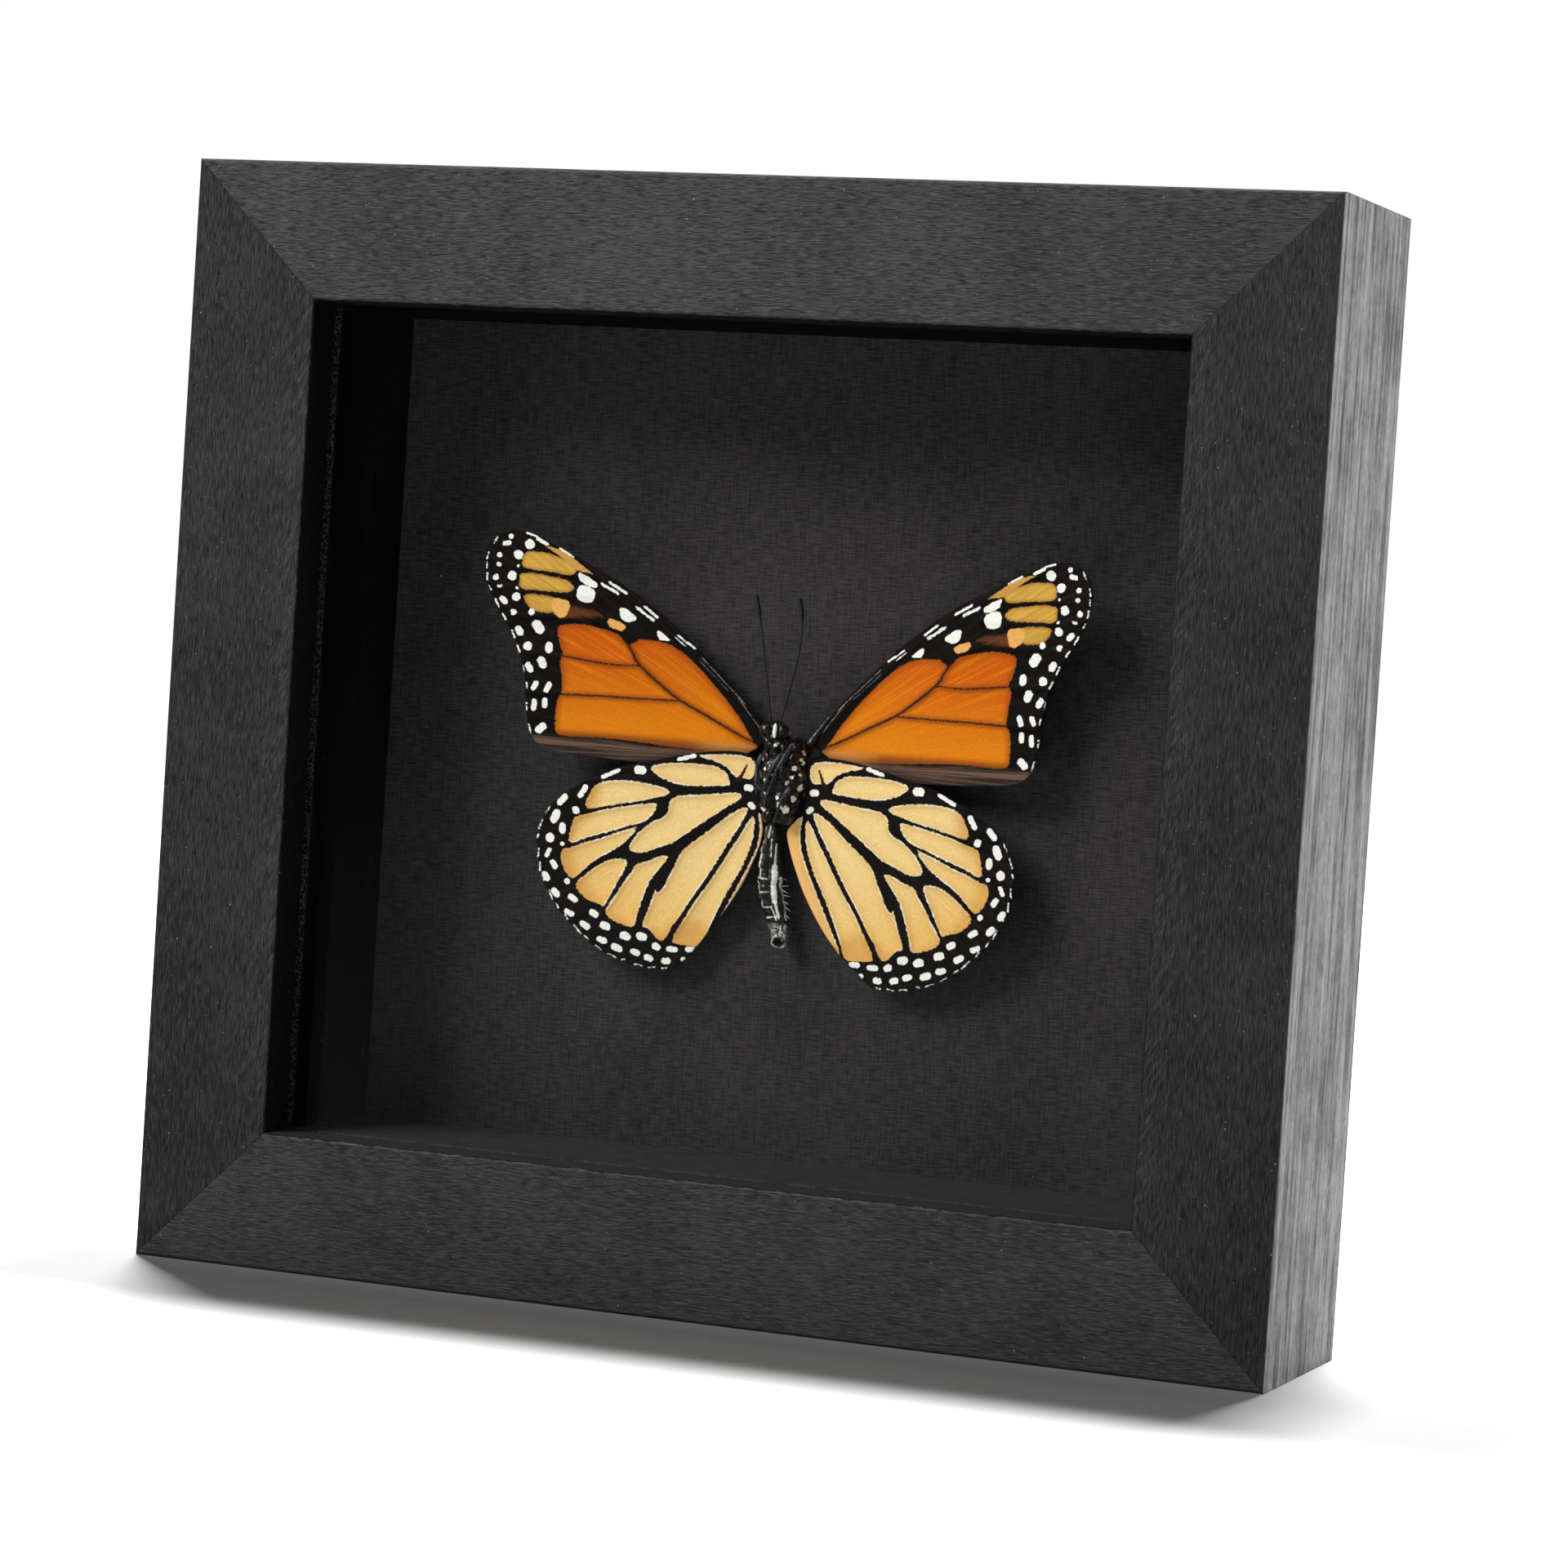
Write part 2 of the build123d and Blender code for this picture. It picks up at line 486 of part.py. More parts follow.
def wings():
    """Forewings on the far side and hindwings over them, as a specimen seen from below has them."""
    forewing = wing_blade(FOREWING_COSTA, FOREWING_HIND, FOREWING_VEINS)
    pieces = {}
    for index, (name, side) in enumerate((("left", -1), ("right", 1))):
        shift = HINDWING_INNER_SHIFT[index]
        inner = tuple((out + share * shift, up)
                      for (out, up), share in zip(HINDWING_INNER, HINDWING_INNER_SHARE))
        hindwing = wing_blade(HINDWING_COSTA, inner, HINDWING_VEINS)
        pieces["forewing_" + name] = seat_wing(forewing, side, THORAX_Y + FOREWING_BEHIND,
                                               FOREWING_LIFT[index], FOREWING_PITCH)
        pieces["hindwing_" + name] = seat_wing(hindwing, side, THORAX_Y + HINDWING_BEHIND,
                                               HINDWING_LIFT[index], HINDWING_PITCH)
    return pieces


def all_pieces():
    """Every piece of the case by name."""
    pieces = frame_members()
    pieces["corner_nails"] = corner_nails()
    pieces["front_glass"] = pane(GLASS_Y, GLASS_THICKNESS)
    pieces.update(liners())
    pieces["linen_paper"] = pane(PAPER_Y, PAPER_THICKNESS)
    pieces["mount_board"] = pane(MOUNT_BOARD_Y, MOUNT_BOARD_THICKNESS)
    pieces["back_board"] = pane(BACK_BOARD_Y, BACK_BOARD_THICKNESS)
    for number, (x, z) in enumerate(PIVOTS, start=1):
        pieces["turn_button_%d" % number] = turn_button(x, z)
    pieces["turn_button_screws"] = turn_button_screws()
    pieces["sawtooth_hanger"] = sawtooth_hanger()
    pieces["hanger_nails"] = hanger_nails()
    pieces["wall_bumpers"] = wall_bumpers()
    pieces["specimen_pad"] = specimen_pad()
    pieces["thorax"] = thorax()
    pieces["head"] = head()
    pieces["compound_eyes"] = compound_eyes()
    pieces["abdomen"] = abdomen()
    pieces["antenna_left"] = antenna(-1, ANTENNA_TIP_OUT[0], ANTENNA_BOW[0])
    pieces["antenna_right"] = antenna(1, ANTENNA_TIP_OUT[1], ANTENNA_BOW[1])
    pieces["legs"] = Compound(children=legs())
    pieces.update(wings())
    return pieces


os.makedirs("parts", exist_ok=True)
for node, solid in all_pieces().items():
    export_step(solid, "parts/%s.step" % node)
    print(node, round(solid.volume, 2))
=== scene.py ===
# %% [markdown]
# # Dressing a butterfly display case
# The case is a box of black-stained wood with a pane of glass in front and a set orange butterfly inside.
# Its solid parts come packed in one frame, with every piece already in its place. This lesson keeps those
# whose shape is right and gives them a finish, and models the butterfly afresh, because what makes a
# butterfly is finer than a solid model needs to hold.

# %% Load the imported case
import math
import bmesh
import bpy
import numpy as np
from mathutils import Matrix, Vector, noise


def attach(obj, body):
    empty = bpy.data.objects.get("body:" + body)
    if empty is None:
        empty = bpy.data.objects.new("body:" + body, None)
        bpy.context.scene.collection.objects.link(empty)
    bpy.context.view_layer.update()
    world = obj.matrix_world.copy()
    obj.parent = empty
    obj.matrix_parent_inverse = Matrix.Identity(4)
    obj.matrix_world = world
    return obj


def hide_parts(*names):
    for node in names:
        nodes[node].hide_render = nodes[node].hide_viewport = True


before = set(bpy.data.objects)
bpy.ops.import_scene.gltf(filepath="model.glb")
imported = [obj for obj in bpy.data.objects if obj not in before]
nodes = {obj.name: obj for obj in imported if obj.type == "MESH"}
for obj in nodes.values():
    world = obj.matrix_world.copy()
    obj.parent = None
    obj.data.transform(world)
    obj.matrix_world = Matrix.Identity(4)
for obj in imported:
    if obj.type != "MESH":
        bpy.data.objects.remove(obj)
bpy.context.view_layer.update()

MM = 0.001                    # all sizes below are in millimetres, and Blender works in metres

# %% [markdown]
# ## Short ways to build a finish
# A procedural material is a chain of small steps: a pattern, a threshold, a mix of two colours. The class
# below holds one material and its shader and adds each kind of step in one line. It could also be done in
# the shader editor by hand, but code can be read again and repeated with other numbers.

# %% A material that is easy to add nodes to
class Finish:
    """A material with its Principled shader, and short ways to add nodes in front of it."""

    def __init__(self, name, **sockets):
        self.material = bpy.data.materials.new(name)
        self.material.use_nodes = True
        self.tree = self.material.node_tree
        self.shader = self.tree.nodes["Principled BSDF"]
        self.place = self.node("TexCoord", out="Object")
        self.set(**sockets)

    def feed(self, socket, value):
        if isinstance(value, bpy.types.NodeSocket):
            self.tree.links.new(value, socket)
        else:
            socket.default_value = value

    def set(self, **sockets):
        for name, value in sockets.items():
            if name == "Base_Color" and isinstance(value, tuple):
                value = (*value, 1)
            self.feed(self.shader.inputs[name.replace("_", " ")], value)

    def node(self, kind, *values, out=0, **settings):
        """Lower-case settings belong to the node, capitalised ones are the names of its inputs."""
        made = self.tree.nodes.new("ShaderNode" + kind)
        for name, value in settings.items():
            if name[0].islower():
                setattr(made, name, value)
        for name, value in settings.items():
            if name[0].isupper():
                self.feed(made.inputs[name.replace("_", " ")], value)
        for socket, value in zip(made.inputs, values):
            if value is not None:
                self.feed(socket, value)
        return made.outputs[out]

    def math(self, operation, *values):
        return self.node("Math", *values, operation=operation)

    def mask(self, value, low, high):
        """Nought below low, one above high, and smooth between."""
        return self.node("MapRange", value, low, high, 0.0, 1.0, interpolation_type="SMOOTHSTEP")

    def below(self, value, edge, soft):
        """One where the value is under the edge, and nought beyond it."""
        return self.math("SUBTRACT", 1.0, self.mask(value, edge - soft, edge + soft))

    def mix(self, share, low, high, mode="MIX"):
        """Two colours mixed by a share."""
        made = self.tree.nodes.new("ShaderNodeMix")
        made.data_type = "RGBA"
        made.blend_type = mode
        for socket, value in ((made.inputs[0], share), (made.inputs[6], low), (made.inputs[7], high)):
            self.feed(socket, (*value, 1) if isinstance(value, tuple) else value)
        return made.outputs[2]

    def lay(self, under, share, colour, strength=1.0):
        """Lay a colour over another where the share is one, as strongly as said."""
        return self.mix(share if strength == 1.0 else self.math("MULTIPLY", share, strength), under, colour)

    def along(self, axis):
        """Millimetres along one axis."""
        return self.math("DIVIDE", self.node("SeparateXYZ", self.place, out=axis), MM)

    def noise(self, vector, size, detail=3.0, roughness=0.5):
        """Cloudy noise whose lumps are about size millimetres across, between nought and one."""
        return self.node("TexNoise", Vector=vector, Scale=1 / (size * MM), Detail=detail, Roughness=roughness)

    def stretch(self, vector, x=1.0, y=1.0, z=1.0):
        """Coordinates scaled per axis: a pattern grows long where the factor is small."""
        return self.node("Mapping", Vector=vector, Scale=(x, y, z))

    def specks(self, vector, spacing, radius, share):
        """Round specks about every spacing millimetres, of which only a share is kept."""
        cell = self.tree.nodes.new("ShaderNodeTexVoronoi")
        self.feed(cell.inputs["Vector"], vector)
        cell.inputs["Scale"].default_value = 1 / (spacing * MM)
        near = self.below(cell.outputs["Distance"], radius / spacing, 0.3 * radius / spacing)
        rare = self.mask(self.node("SeparateColor", cell.outputs["Color"], out="Red"), 1 - share, 1 - 0.9 * share)
        return self.math("MULTIPLY", near, rare)

    def attribute(self, name):
        """A number that the piece's own mesh carries at each vertex."""
        return self.node("Attribute", attribute_name=name, out="Fac")

    def relief(self, height, depth):
        """Bump, with its full depth in millimetres."""
        self.set(Normal=self.node("Bump", Strength=1.0, Distance=depth * MM, Height=height))


def paint(finish, *names):
    """Give solid pieces a finish in place of the plain one they came with."""
    for name in names:
        slots = nodes[name].data.materials
        for index in range(max(len(slots), 1)):
            if slots:
                slots[index] = finish.material
            else:
                slots.append(finish.material)


plain_materials = {material.name for node in nodes.values() for material in node.data.materials if material}
print("the solid pieces come in", len(plain_materials), "plain materials")

# %% [markdown]
# ## The camera
# The photograph was taken from the right of the case and a little above its middle, with a long lens. The
# place below was worked out from the eight corners of the frame, whose sizes are known, so the model lands
# on the photograph without shifting the lens.

# %% Place the camera
SENSOR_WIDTH, FOCAL_LENGTH = 36.0, 107.54
NEAREST_SEEN = 10.0
CAMERA_PLACE = (251.30, -641.91, 103.56)
CAMERA_AXES = ((0.93056975, 0.36038449, 0.06452096),
               (-0.07370544, 0.01178488, 0.99721042),
               (0.3586188, -0.9327294, 0.03752895))          # right, up and backward
camera_data = bpy.data.cameras.new("camera")
camera_data.sensor_width = SENSOR_WIDTH
camera_data.lens = FOCAL_LENGTH
camera_data.clip_start = NEAREST_SEEN * MM
camera = bpy.data.objects.new("camera", camera_data)
camera.matrix_world = Matrix.Translation(Vector(CAMERA_PLACE) * MM) @ Matrix(CAMERA_AXES).transposed().to_4x4()
bpy.context.scene.collection.objects.link(camera)
bpy.context.scene.camera = camera
bpy.context.scene.view_settings.view_transform = "Standard"
print("camera at", tuple(round(v, 3) for v in camera.location))

# %% [markdown]
# ## Floor and sky
# The photograph has a white ground that runs into a white backdrop, with one soft shadow beside the case. A
# pale floor could be lit until it is white, but then the case would be far too bright. So the floor is a mid
# grey that glows for the camera alone, except near the front of the case, where the shadow falls, and the sky
# is white to the camera and dim to everything else. A mirror sees both bright behind the case and dim in
# front of it, so that the pane isn't veiled.

# %% The floor and the sky
FLOOR_HALF = 6000
FLOOR_GREY, MIRRORED_GREY = (0.48, 0.48, 0.48), (0.07, 0.07, 0.07)
GLOW_OUT, GLOW_BACK = (0.14, 0.34), (-0.03, 0.06)     # metres over which it sets in: from the middle, and behind
SKY_FILL = 0.21               # how bright the sky is to everything but the camera and a mirror
bm = bmesh.new()
bmesh.ops.create_grid(bm, x_segments=1, y_segments=1, size=FLOOR_HALF * MM)
floor_mesh = bpy.data.meshes.new("floor")
bm.to_mesh(floor_mesh)
bm.free()
floor = bpy.data.objects.new("floor", floor_mesh)
bpy.context.scene.collection.objects.link(floor)
pale = Finish("pale_floor", Roughness=0.9, Specular_IOR_Level=0.1)
away = pale.mask(pale.node("VectorMath", pale.place, operation="LENGTH", out="Value"), *GLOW_OUT)
behind = pale.mask(pale.node("SeparateXYZ", pale.place, out="Y"), *GLOW_BACK)
glow = pale.math("MULTIPLY_ADD", pale.math("MAXIMUM", away, behind), 0.94, 0.01)
pale.set(Emission_Color=(1, 1, 1, 1),
         Emission_Strength=pale.math("MULTIPLY", pale.node("LightPath", out="Is Camera Ray"), glow))
in_mirror = pale.math("MULTIPLY", pale.node("LightPath", out="Is Glossy Ray"), pale.math("SUBTRACT", 1.0, behind))
pale.set(Base_Color=pale.mix(in_mirror, FLOOR_GREY, MIRRORED_GREY))
floor_mesh.materials.append(pale.material)

world = bpy.data.worlds.new("studio")
bpy.context.scene.world = world
world.use_nodes = True
sky = world.node_tree
direction = sky.nodes.new("ShaderNodeTexCoord").outputs["Generated"]
split = sky.nodes.new("ShaderNodeSeparateXYZ")
sky.links.new(direction, split.inputs[0])
side = sky.nodes.new("ShaderNodeMapRange")          # what a mirror sees: bright behind the case, dim in front
sky.links.new(split.outputs["Y"], side.inputs["Value"])
for name, value in (("From Min", -0.10), ("From Max", 0.55), ("To Min", 0.03), ("To Max", 1.0)):
    side.inputs[name].default_value = value
path = sky.nodes.new("ShaderNodeLightPath")
plain = sky.nodes.new("ShaderNodeMix")              # that, or the even fill
plain.inputs["A"].default_value = SKY_FILL
sky.links.new(path.outputs["Is Glossy Ray"], plain.inputs["Factor"])
sky.links.new(side.outputs[0], plain.inputs["B"])
seen = sky.nodes.new("ShaderNodeMix")               # plain white where the camera looks past the case
seen.inputs["B"].default_value = 1.0
sky.links.new(path.outputs["Is Camera Ray"], seen.inputs["Factor"])
sky.links.new(plain.outputs[0], seen.inputs["A"])
sky.links.new(seen.outputs[0], sky.nodes["Background"].inputs["Strength"])
sky.nodes["Background"].inputs["Color"].default_value = (1, 1, 1, 1)
print("floor", 2 * FLOOR_HALF * MM, "m wide, under a sky of", SKY_FILL)

# %% [markdown]
# ## Lamps
# A large soft lamp from the upper left throws the wings' shadows down to the right, as in the photograph. One
# overhead lights the rails, and one from the right fills in. The photograph's floor is overexposed, so it is
# dark only where the case keeps off the light from both sides, and the shadow narrows at its ends. Two small
# lamps above the floor, each bright enough to turn it white by itself, give that shadow. Light linking keeps
# those two off the case and the others off the floor, so that one can be changed without the other.

# %% The lamps
CASE_MIDDLE = (0, 0, 82.5)
LAMPS = (                     # place, size, watts, and whether the floor is all that it lights or all that it spares
    ("key", (-640, -930, 880), 600, 21.5, "EXCLUDE"),
    ("overhead", (60, 90, 1300), 560, 14.0, "EXCLUDE"),
    ("right_fill", (980, 230, 420), 600, 12.0, "EXCLUDE"),
    ("floor_left", (-260, 263, 1300), 160, 33.0, "INCLUDE"),
    ("floor_right", (47, 263, 1300), 160, 33.0, "INCLUDE"),
)
for name, place, size, watts, floor_state in LAMPS:
    data = bpy.data.lights.new(name, "AREA")
    data.shape = "SQUARE"
    data.size = size * MM
    data.energy = watts
    made = bpy.data.objects.new(name, data)
    made.location = Vector(place) * MM
    made.rotation_euler = (Vector(CASE_MIDDLE) - Vector(place)).to_track_quat("-Z", "Y").to_euler()
    bpy.context.scene.collection.objects.link(made)
    receivers = bpy.data.collections.new(name + "_floor")
    receivers.objects.link(floor)
    receivers.collection_objects[0].light_linking.link_state = floor_state
    made.light_linking.receiver_collection = receivers
print(len(LAMPS), "lamps of", sum(watts for _, _, _, watts, _ in LAMPS), "W in all")

# %% [markdown]
# ## Black-stained wood
# The four lengths of moulding are ash or pine under a thin black stain. The stain sinks into the grain, so
# fine dark pores and paler streaks run along each length, and dust shows as pale specks. Noise that is
# stretched along the wood makes the streaks. The rails lie along X and the stiles along Z, so the same
# recipe is made twice with the stretch turned, and the stiles' copy is darker: painted shade. The outer
# sides are sawn, with long streaks, and are painted a paler grey as a painted sheen of grazing light.
# Painting an image would also work, but this never blurs.

# %% The wood of the rails and stiles
CASE_WIDTH, CASE_HEIGHT = 176.0, 165.0
SIGHT_HALF_WIDTH, SIGHT_HALF_HEIGHT = 67.5, 62.0
GRAIN_SQUEEZE, PORE_SQUEEZE = 0.05, 0.075        # along the grain, for streaks 20 and pores 13 times as long as wide
PIT_BLACK = (0.003, 0.003, 0.003)


def stained_wood(name, along, depth, gloss, sanding):
    """Stained open-grained wood whose grain runs along x or z. A depth of one is a thin stain; below one it darkens
    every colour as painted shade.
    """
    def stained_and_shaded(*colour):
        """A colour scaled by the depth, which below one is painted shade."""
        return tuple(part * depth for part in colour)

    wood = Finish(name, Specular_IOR_Level=gloss)
    lengthwise = wood.stretch(wood.place, **{along: GRAIN_SQUEEZE})
    streaks = wood.noise(lengthwise, 0.26, detail=5.0, roughness=0.62)
    pores = wood.noise(wood.stretch(wood.place, **{along: PORE_SQUEEZE}), 0.13, detail=3.0, roughness=0.6)
    patches = wood.noise(wood.place, 16.0, detail=3.0)
    tone = wood.math("ADD", wood.math("MULTIPLY", streaks, 0.75), wood.math("MULTIPLY", patches, 0.25))
    stain = wood.mix(wood.mask(tone, 0.39, 0.61), stained_and_shaded(0.0070, 0.0070, 0.0070), stained_and_shaded(0.028, 0.0275, 0.0280))
    stain = wood.lay(stain, wood.mask(pores, 0.54, 0.64), stained_and_shaded(0.066, 0.064, 0.064), 0.6)
    pit = wood.below(pores, 0.40, 0.05)
    stain = wood.lay(stain, pit, PIT_BLACK, 0.8)

    # the outer sides: sawn streaks in a paler grey, which is painted sheen
    off_middle = wood.math("ABSOLUTE", wood.along("X"))
    off_level = wood.math("ABSOLUTE", wood.math("SUBTRACT", wood.along("Z"), CASE_HEIGHT / 2))
    past_edge = wood.math("MAXIMUM", wood.math("SUBTRACT", off_middle, CASE_WIDTH / 2),
                          wood.math("SUBTRACT", off_level, CASE_HEIGHT / 2))
    sawn_sheen = wood.math("ADD", wood.math("MULTIPLY", wood.noise(lengthwise, 1.3, detail=8.0, roughness=0.66), 0.7),
                     wood.math("MULTIPLY", wood.noise(wood.place, 6.0, detail=5.0, roughness=0.7), 0.3))
    sawn_sheen = wood.mix(wood.mask(sawn_sheen, 0.35, 0.65), (0.024, 0.024, 0.025), (0.215, 0.215, 0.218))
    sawn_sheen = wood.lay(sawn_sheen, pit, (0.012, 0.012, 0.012), 0.6)
    stain = wood.lay(stain, wood.mask(past_edge, -0.16, -0.04), sawn_sheen)

    # slanting marks of the sanding block beside the opening, and a ragged rim along its edge darkened almost to black
    slanted = wood.stretch(wood.node("Mapping", Vector=wood.place, Rotation=(0, math.radians(-32), 0)), z=0.08)
    past_sight = wood.math("MAXIMUM", wood.math("SUBTRACT", off_middle, SIGHT_HALF_WIDTH),
                           wood.math("SUBTRACT", off_level, SIGHT_HALF_HEIGHT))
    beside = wood.math("MULTIPLY", wood.below(past_sight, 4.0, 3.5), wood.mask(wood.noise(slanted, 0.22), 0.54, 0.66))
    stain = wood.lay(stain, wood.math("MULTIPLY", beside, sanding), (0.075, 0.074, 0.072))
    uneven = wood.math("MULTIPLY_ADD", wood.noise(wood.place, 1.3, detail=3.0), -0.6, past_sight)
    inner = wood.below(uneven, -0.08, 0.10)
    stain = wood.lay(stain, inner, (0.0022, 0.0022, 0.0024))

    # dust, and the dark seam of each mitre
    dust = wood.math("MAXIMUM", wood.specks(wood.place, 2.6, 0.13, 0.40), wood.specks(wood.place, 0.9, 0.08, 0.30))
    stain = wood.lay(stain, dust, (0.26, 0.25, 0.24), 0.5)
    past_mitre = wood.math("SUBTRACT", wood.math("SUBTRACT", off_middle, off_level), (CASE_WIDTH - CASE_HEIGHT) / 2)
    seam = wood.below(wood.math("ABSOLUTE", past_mitre), 0.07, 0.07)
    wood.set(Base_Color=wood.lay(stain, seam, PIT_BLACK, 0.8))
    wood.set(Roughness=wood.math("MAXIMUM", wood.node("MapRange", streaks, 0.25, 0.75, 0.50, 0.74), inner))
    height = wood.math("SUBTRACT", wood.math("MULTIPLY", streaks, 0.6), wood.math("MAXIMUM", pit, seam))
    wood.relief(height, 0.06)
    return wood


paint(stained_wood("stained_rail", "x", depth=1.0, gloss=0.40, sanding=0.0), "rail_bottom", "rail_top")
# the stiles' depth below one is painted shade, which makes them darker than the rails
paint(stained_wood("stained_shaded_stile", "z", depth=0.62, gloss=0.26, sanding=0.34), "stile_left", "stile_right")
print("wood on rails and stiles")

# %% [markdown]
# ## Liners
# The inner walls are strips of board painted matte black. Where they meet the pane there is a line of pale
# dust that has crept along the edge of the glass, and a few scuffs. The dust is a threshold on the distance
# behind the glass, broken up by noise, so it stays a ragged line however close the camera comes. Dust falls,
# so the lower strip is greyed all over, and the upper one stays black.

# %% The painted liners
LINER_FRONT = -10.0           # where the liners meet the rear of the pane


def painted_board(name, low, high, dust):
    """Matte paint between two tones, with some dust along the edge of the pane."""
    board = Finish(name, Roughness=0.80, Specular_IOR_Level=0.12)
    grain = board.noise(board.stretch(board.place, 0.15, 1.0, 0.15), 0.5, detail=4.0)
    coat = board.mix(board.mask(grain, 0.3, 0.7), low, high)
    behind_glass = board.math("SUBTRACT", board.along("Y"), LINER_FRONT)
    ragged = board.math("MULTIPLY_ADD", board.noise(board.place, 0.7, detail=4.0), -1.1, behind_glass)
    crumbs = board.mask(board.noise(board.place, 0.30, detail=4.0, roughness=0.7), 0.46, 0.66)
    line = board.math("MULTIPLY", board.below(ragged, -0.26, 0.14), crumbs)
    rubbed = board.noise(board.stretch(board.place, 0.25, 1.0, 0.25), 2.2, detail=5.0, roughness=0.7)
    scuffs = board.math("MULTIPLY", board.mask(rubbed, 0.60, 0.78), 0.35)
    dusty = board.math("MULTIPLY", board.math("MAXIMUM", line, scuffs), dust)
    dusty = board.math("MAXIMUM", dusty, board.math("MULTIPLY", board.specks(board.place, 2.0, 0.10, 0.25), 0.5))
    board.set(Base_Color=board.mix(dusty, coat, (0.30, 0.29, 0.27)))
    board.relief(grain, 0.03)
    return board


for name, low, high, dust, strips in (
        ("black_liner", (0.0020, 0.0020, 0.0022), (0.0060, 0.0058, 0.0060), 0.04, ("liner_top", "liner_right")),
        # the left strip's paint is also a little darker than the others': painted shade
        ("scuffed_shaded_liner", (0.0018, 0.0018, 0.0020), (0.0052, 0.0050, 0.0052), 0.40, ("liner_left",)),
        ("dusty_liner", (0.026, 0.0230, 0.0235), (0.062, 0.0560, 0.0570), 0.22, ("liner_bottom",))):
    paint(painted_board(name, low, high, dust), *strips)
print("paint on the liners, from", LINER_FRONT, "mm back")

# %% [markdown]
# ## The linen paper
# The backing is charcoal paper, embossed so that it looks like woven linen: fine threads cross at right
# angles, each a little thicker or thinner than the next. Two stretched noises, one along X and one along Z,
# give such uneven threads, and their sum drives both the bump and a slight change of tone.

# %% The embossed paper
paper = Finish("linen_paper", Roughness=0.86, Specular_IOR_Level=0.10)
weft = paper.noise(paper.stretch(paper.place, 0.08, 1.0, 1.0), 0.20, detail=2.0)
warp = paper.noise(paper.stretch(paper.place, 1.0, 1.0, 0.08), 0.22, detail=2.0)
threads = paper.math("ADD", paper.math("MULTIPLY", weft, 0.62), paper.math("MULTIPLY", warp, 0.38))
mottle = paper.noise(paper.place, 30.0, detail=3.0)
tone = paper.math("ADD", paper.math("MULTIPLY", threads, 0.8), paper.math("MULTIPLY", mottle, 0.2))
tint = paper.mix(paper.mask(tone, 0.36, 0.64), (0.0175, 0.0150, 0.0158), (0.052, 0.0450, 0.0465))
lint = paper.math("MAXIMUM", paper.specks(paper.place, 6.0, 0.13, 0.30), paper.specks(paper.place, 2.1, 0.07, 0.10))
paper.set(Base_Color=paper.lay(tint, lint, (0.42, 0.41, 0.39), 0.55))
paper.relief(threads, 0.08)
paint(paper, "linen_paper")
print("paper with threads a fifth of a millimetre wide")

# %% [markdown]
# ## Glass
# A real refracting pane stops lamp light in a renderer, because light can't be aimed through it. A thin,
# flat pane hardly bends what is behind it, so it is made see-through with a mirror mixed in by the Fresnel
# law, which keeps the reflection and lets the light in. Hardly any glare shows in the photograph, so the
# mirror is held down to a third. A few specks of dust lie on the pane.

# %% The pane
GLARE = 0.30
glass = Finish("clear_pane", Base_Color=(0.86, 0.88, 0.87))
motes = glass.math("MAXIMUM", glass.specks(glass.place, 9.0, 0.10, 0.25), glass.specks(glass.place, 3.1, 0.05, 0.10))
glass.set(Metallic=glass.math("SUBTRACT", 1.0, motes))
glass.set(Roughness=glass.math("MULTIPLY_ADD", motes, 0.5, 0.04))
mirrored = glass.math("MULTIPLY", glass.node("Fresnel", IOR=1.45), GLARE)
shown = glass.math("MAXIMUM", mirrored, glass.math("MULTIPLY", motes, 0.28))
clear = glass.node("BsdfTransparent", Color=(0.985, 0.995, 0.99, 1))
pane = glass.node("MixShader", shown, clear, glass.shader.outputs["BSDF"])
glass.tree.links.new(pane, glass.tree.nodes["Material Output"].inputs["Surface"])
paint(glass, "front_glass")
print("pane with", GLARE, "of its glare")

# %% [markdown]
# ## The back of the case
# Behind the paper are a grey board and a brown hardboard back, held in by four steel buttons, with a rubber
# dot on each lower corner. Pressed board is a mat of short fibres, so its colour comes from noise at two
# sizes, with a few dark flecks. Board, rubber and foam that hardly show get one mottled recipe.

# %% Boards, rubber and foam
board = Finish("pressed_board", Roughness=0.62, Specular_IOR_Level=0.3)
fibres = board.noise(board.place, 0.7, detail=5.0, roughness=0.7)
clouds = board.noise(board.place, 14.0, detail=3.0)
brown = board.mix(board.mask(fibres, 0.3, 0.7), (0.115, 0.055, 0.024), (0.245, 0.130, 0.062))
brown = board.lay(brown, clouds, (0.16, 0.085, 0.040), 0.35)
fleck = board.specks(board.place, 1.9, 0.22, 0.30)
board.set(Base_Color=board.lay(brown, fleck, (0.07, 0.034, 0.016), 0.6))
board.relief(fibres, 0.05)
paint(board, "back_board")

for name, node, size, detail, low, high, sockets in (
        ("grey_board", "mount_board", 0.8, 5.0, (0.26, 0.25, 0.22), (0.50, 0.48, 0.44), {"Roughness": 0.9}),
        ("wall_dot", "wall_bumpers", 1.2, 3.0, (0.42, 0.41, 0.38), (0.60, 0.59, 0.56),
         {"Roughness": 0.42, "Subsurface_Weight": 0.25}),
        ("foam_pad", "specimen_pad", 0.3, 4.0, (0.45, 0.43, 0.38), (0.72, 0.70, 0.64), {"Roughness": 0.95})):
    mottled = Finish(name, **sockets)
    mottled.set(Base_Color=mottled.mix(mottled.noise(mottled.place, size, detail=detail), low, high))
    paint(mottled, node)
print("boards, rubber dots and foam pad finished")

# %% [markdown]
# ## Steel
# The buttons and the hanger are pressed from yellow-plated steel, and the screws and nails are zinc-plated. A
# smooth mirror would look like a toy. Rolling leaves fine streaks and handling leaves some tarnish, so one
# noise is stretched and the other isn't, and their sum drives the roughness.

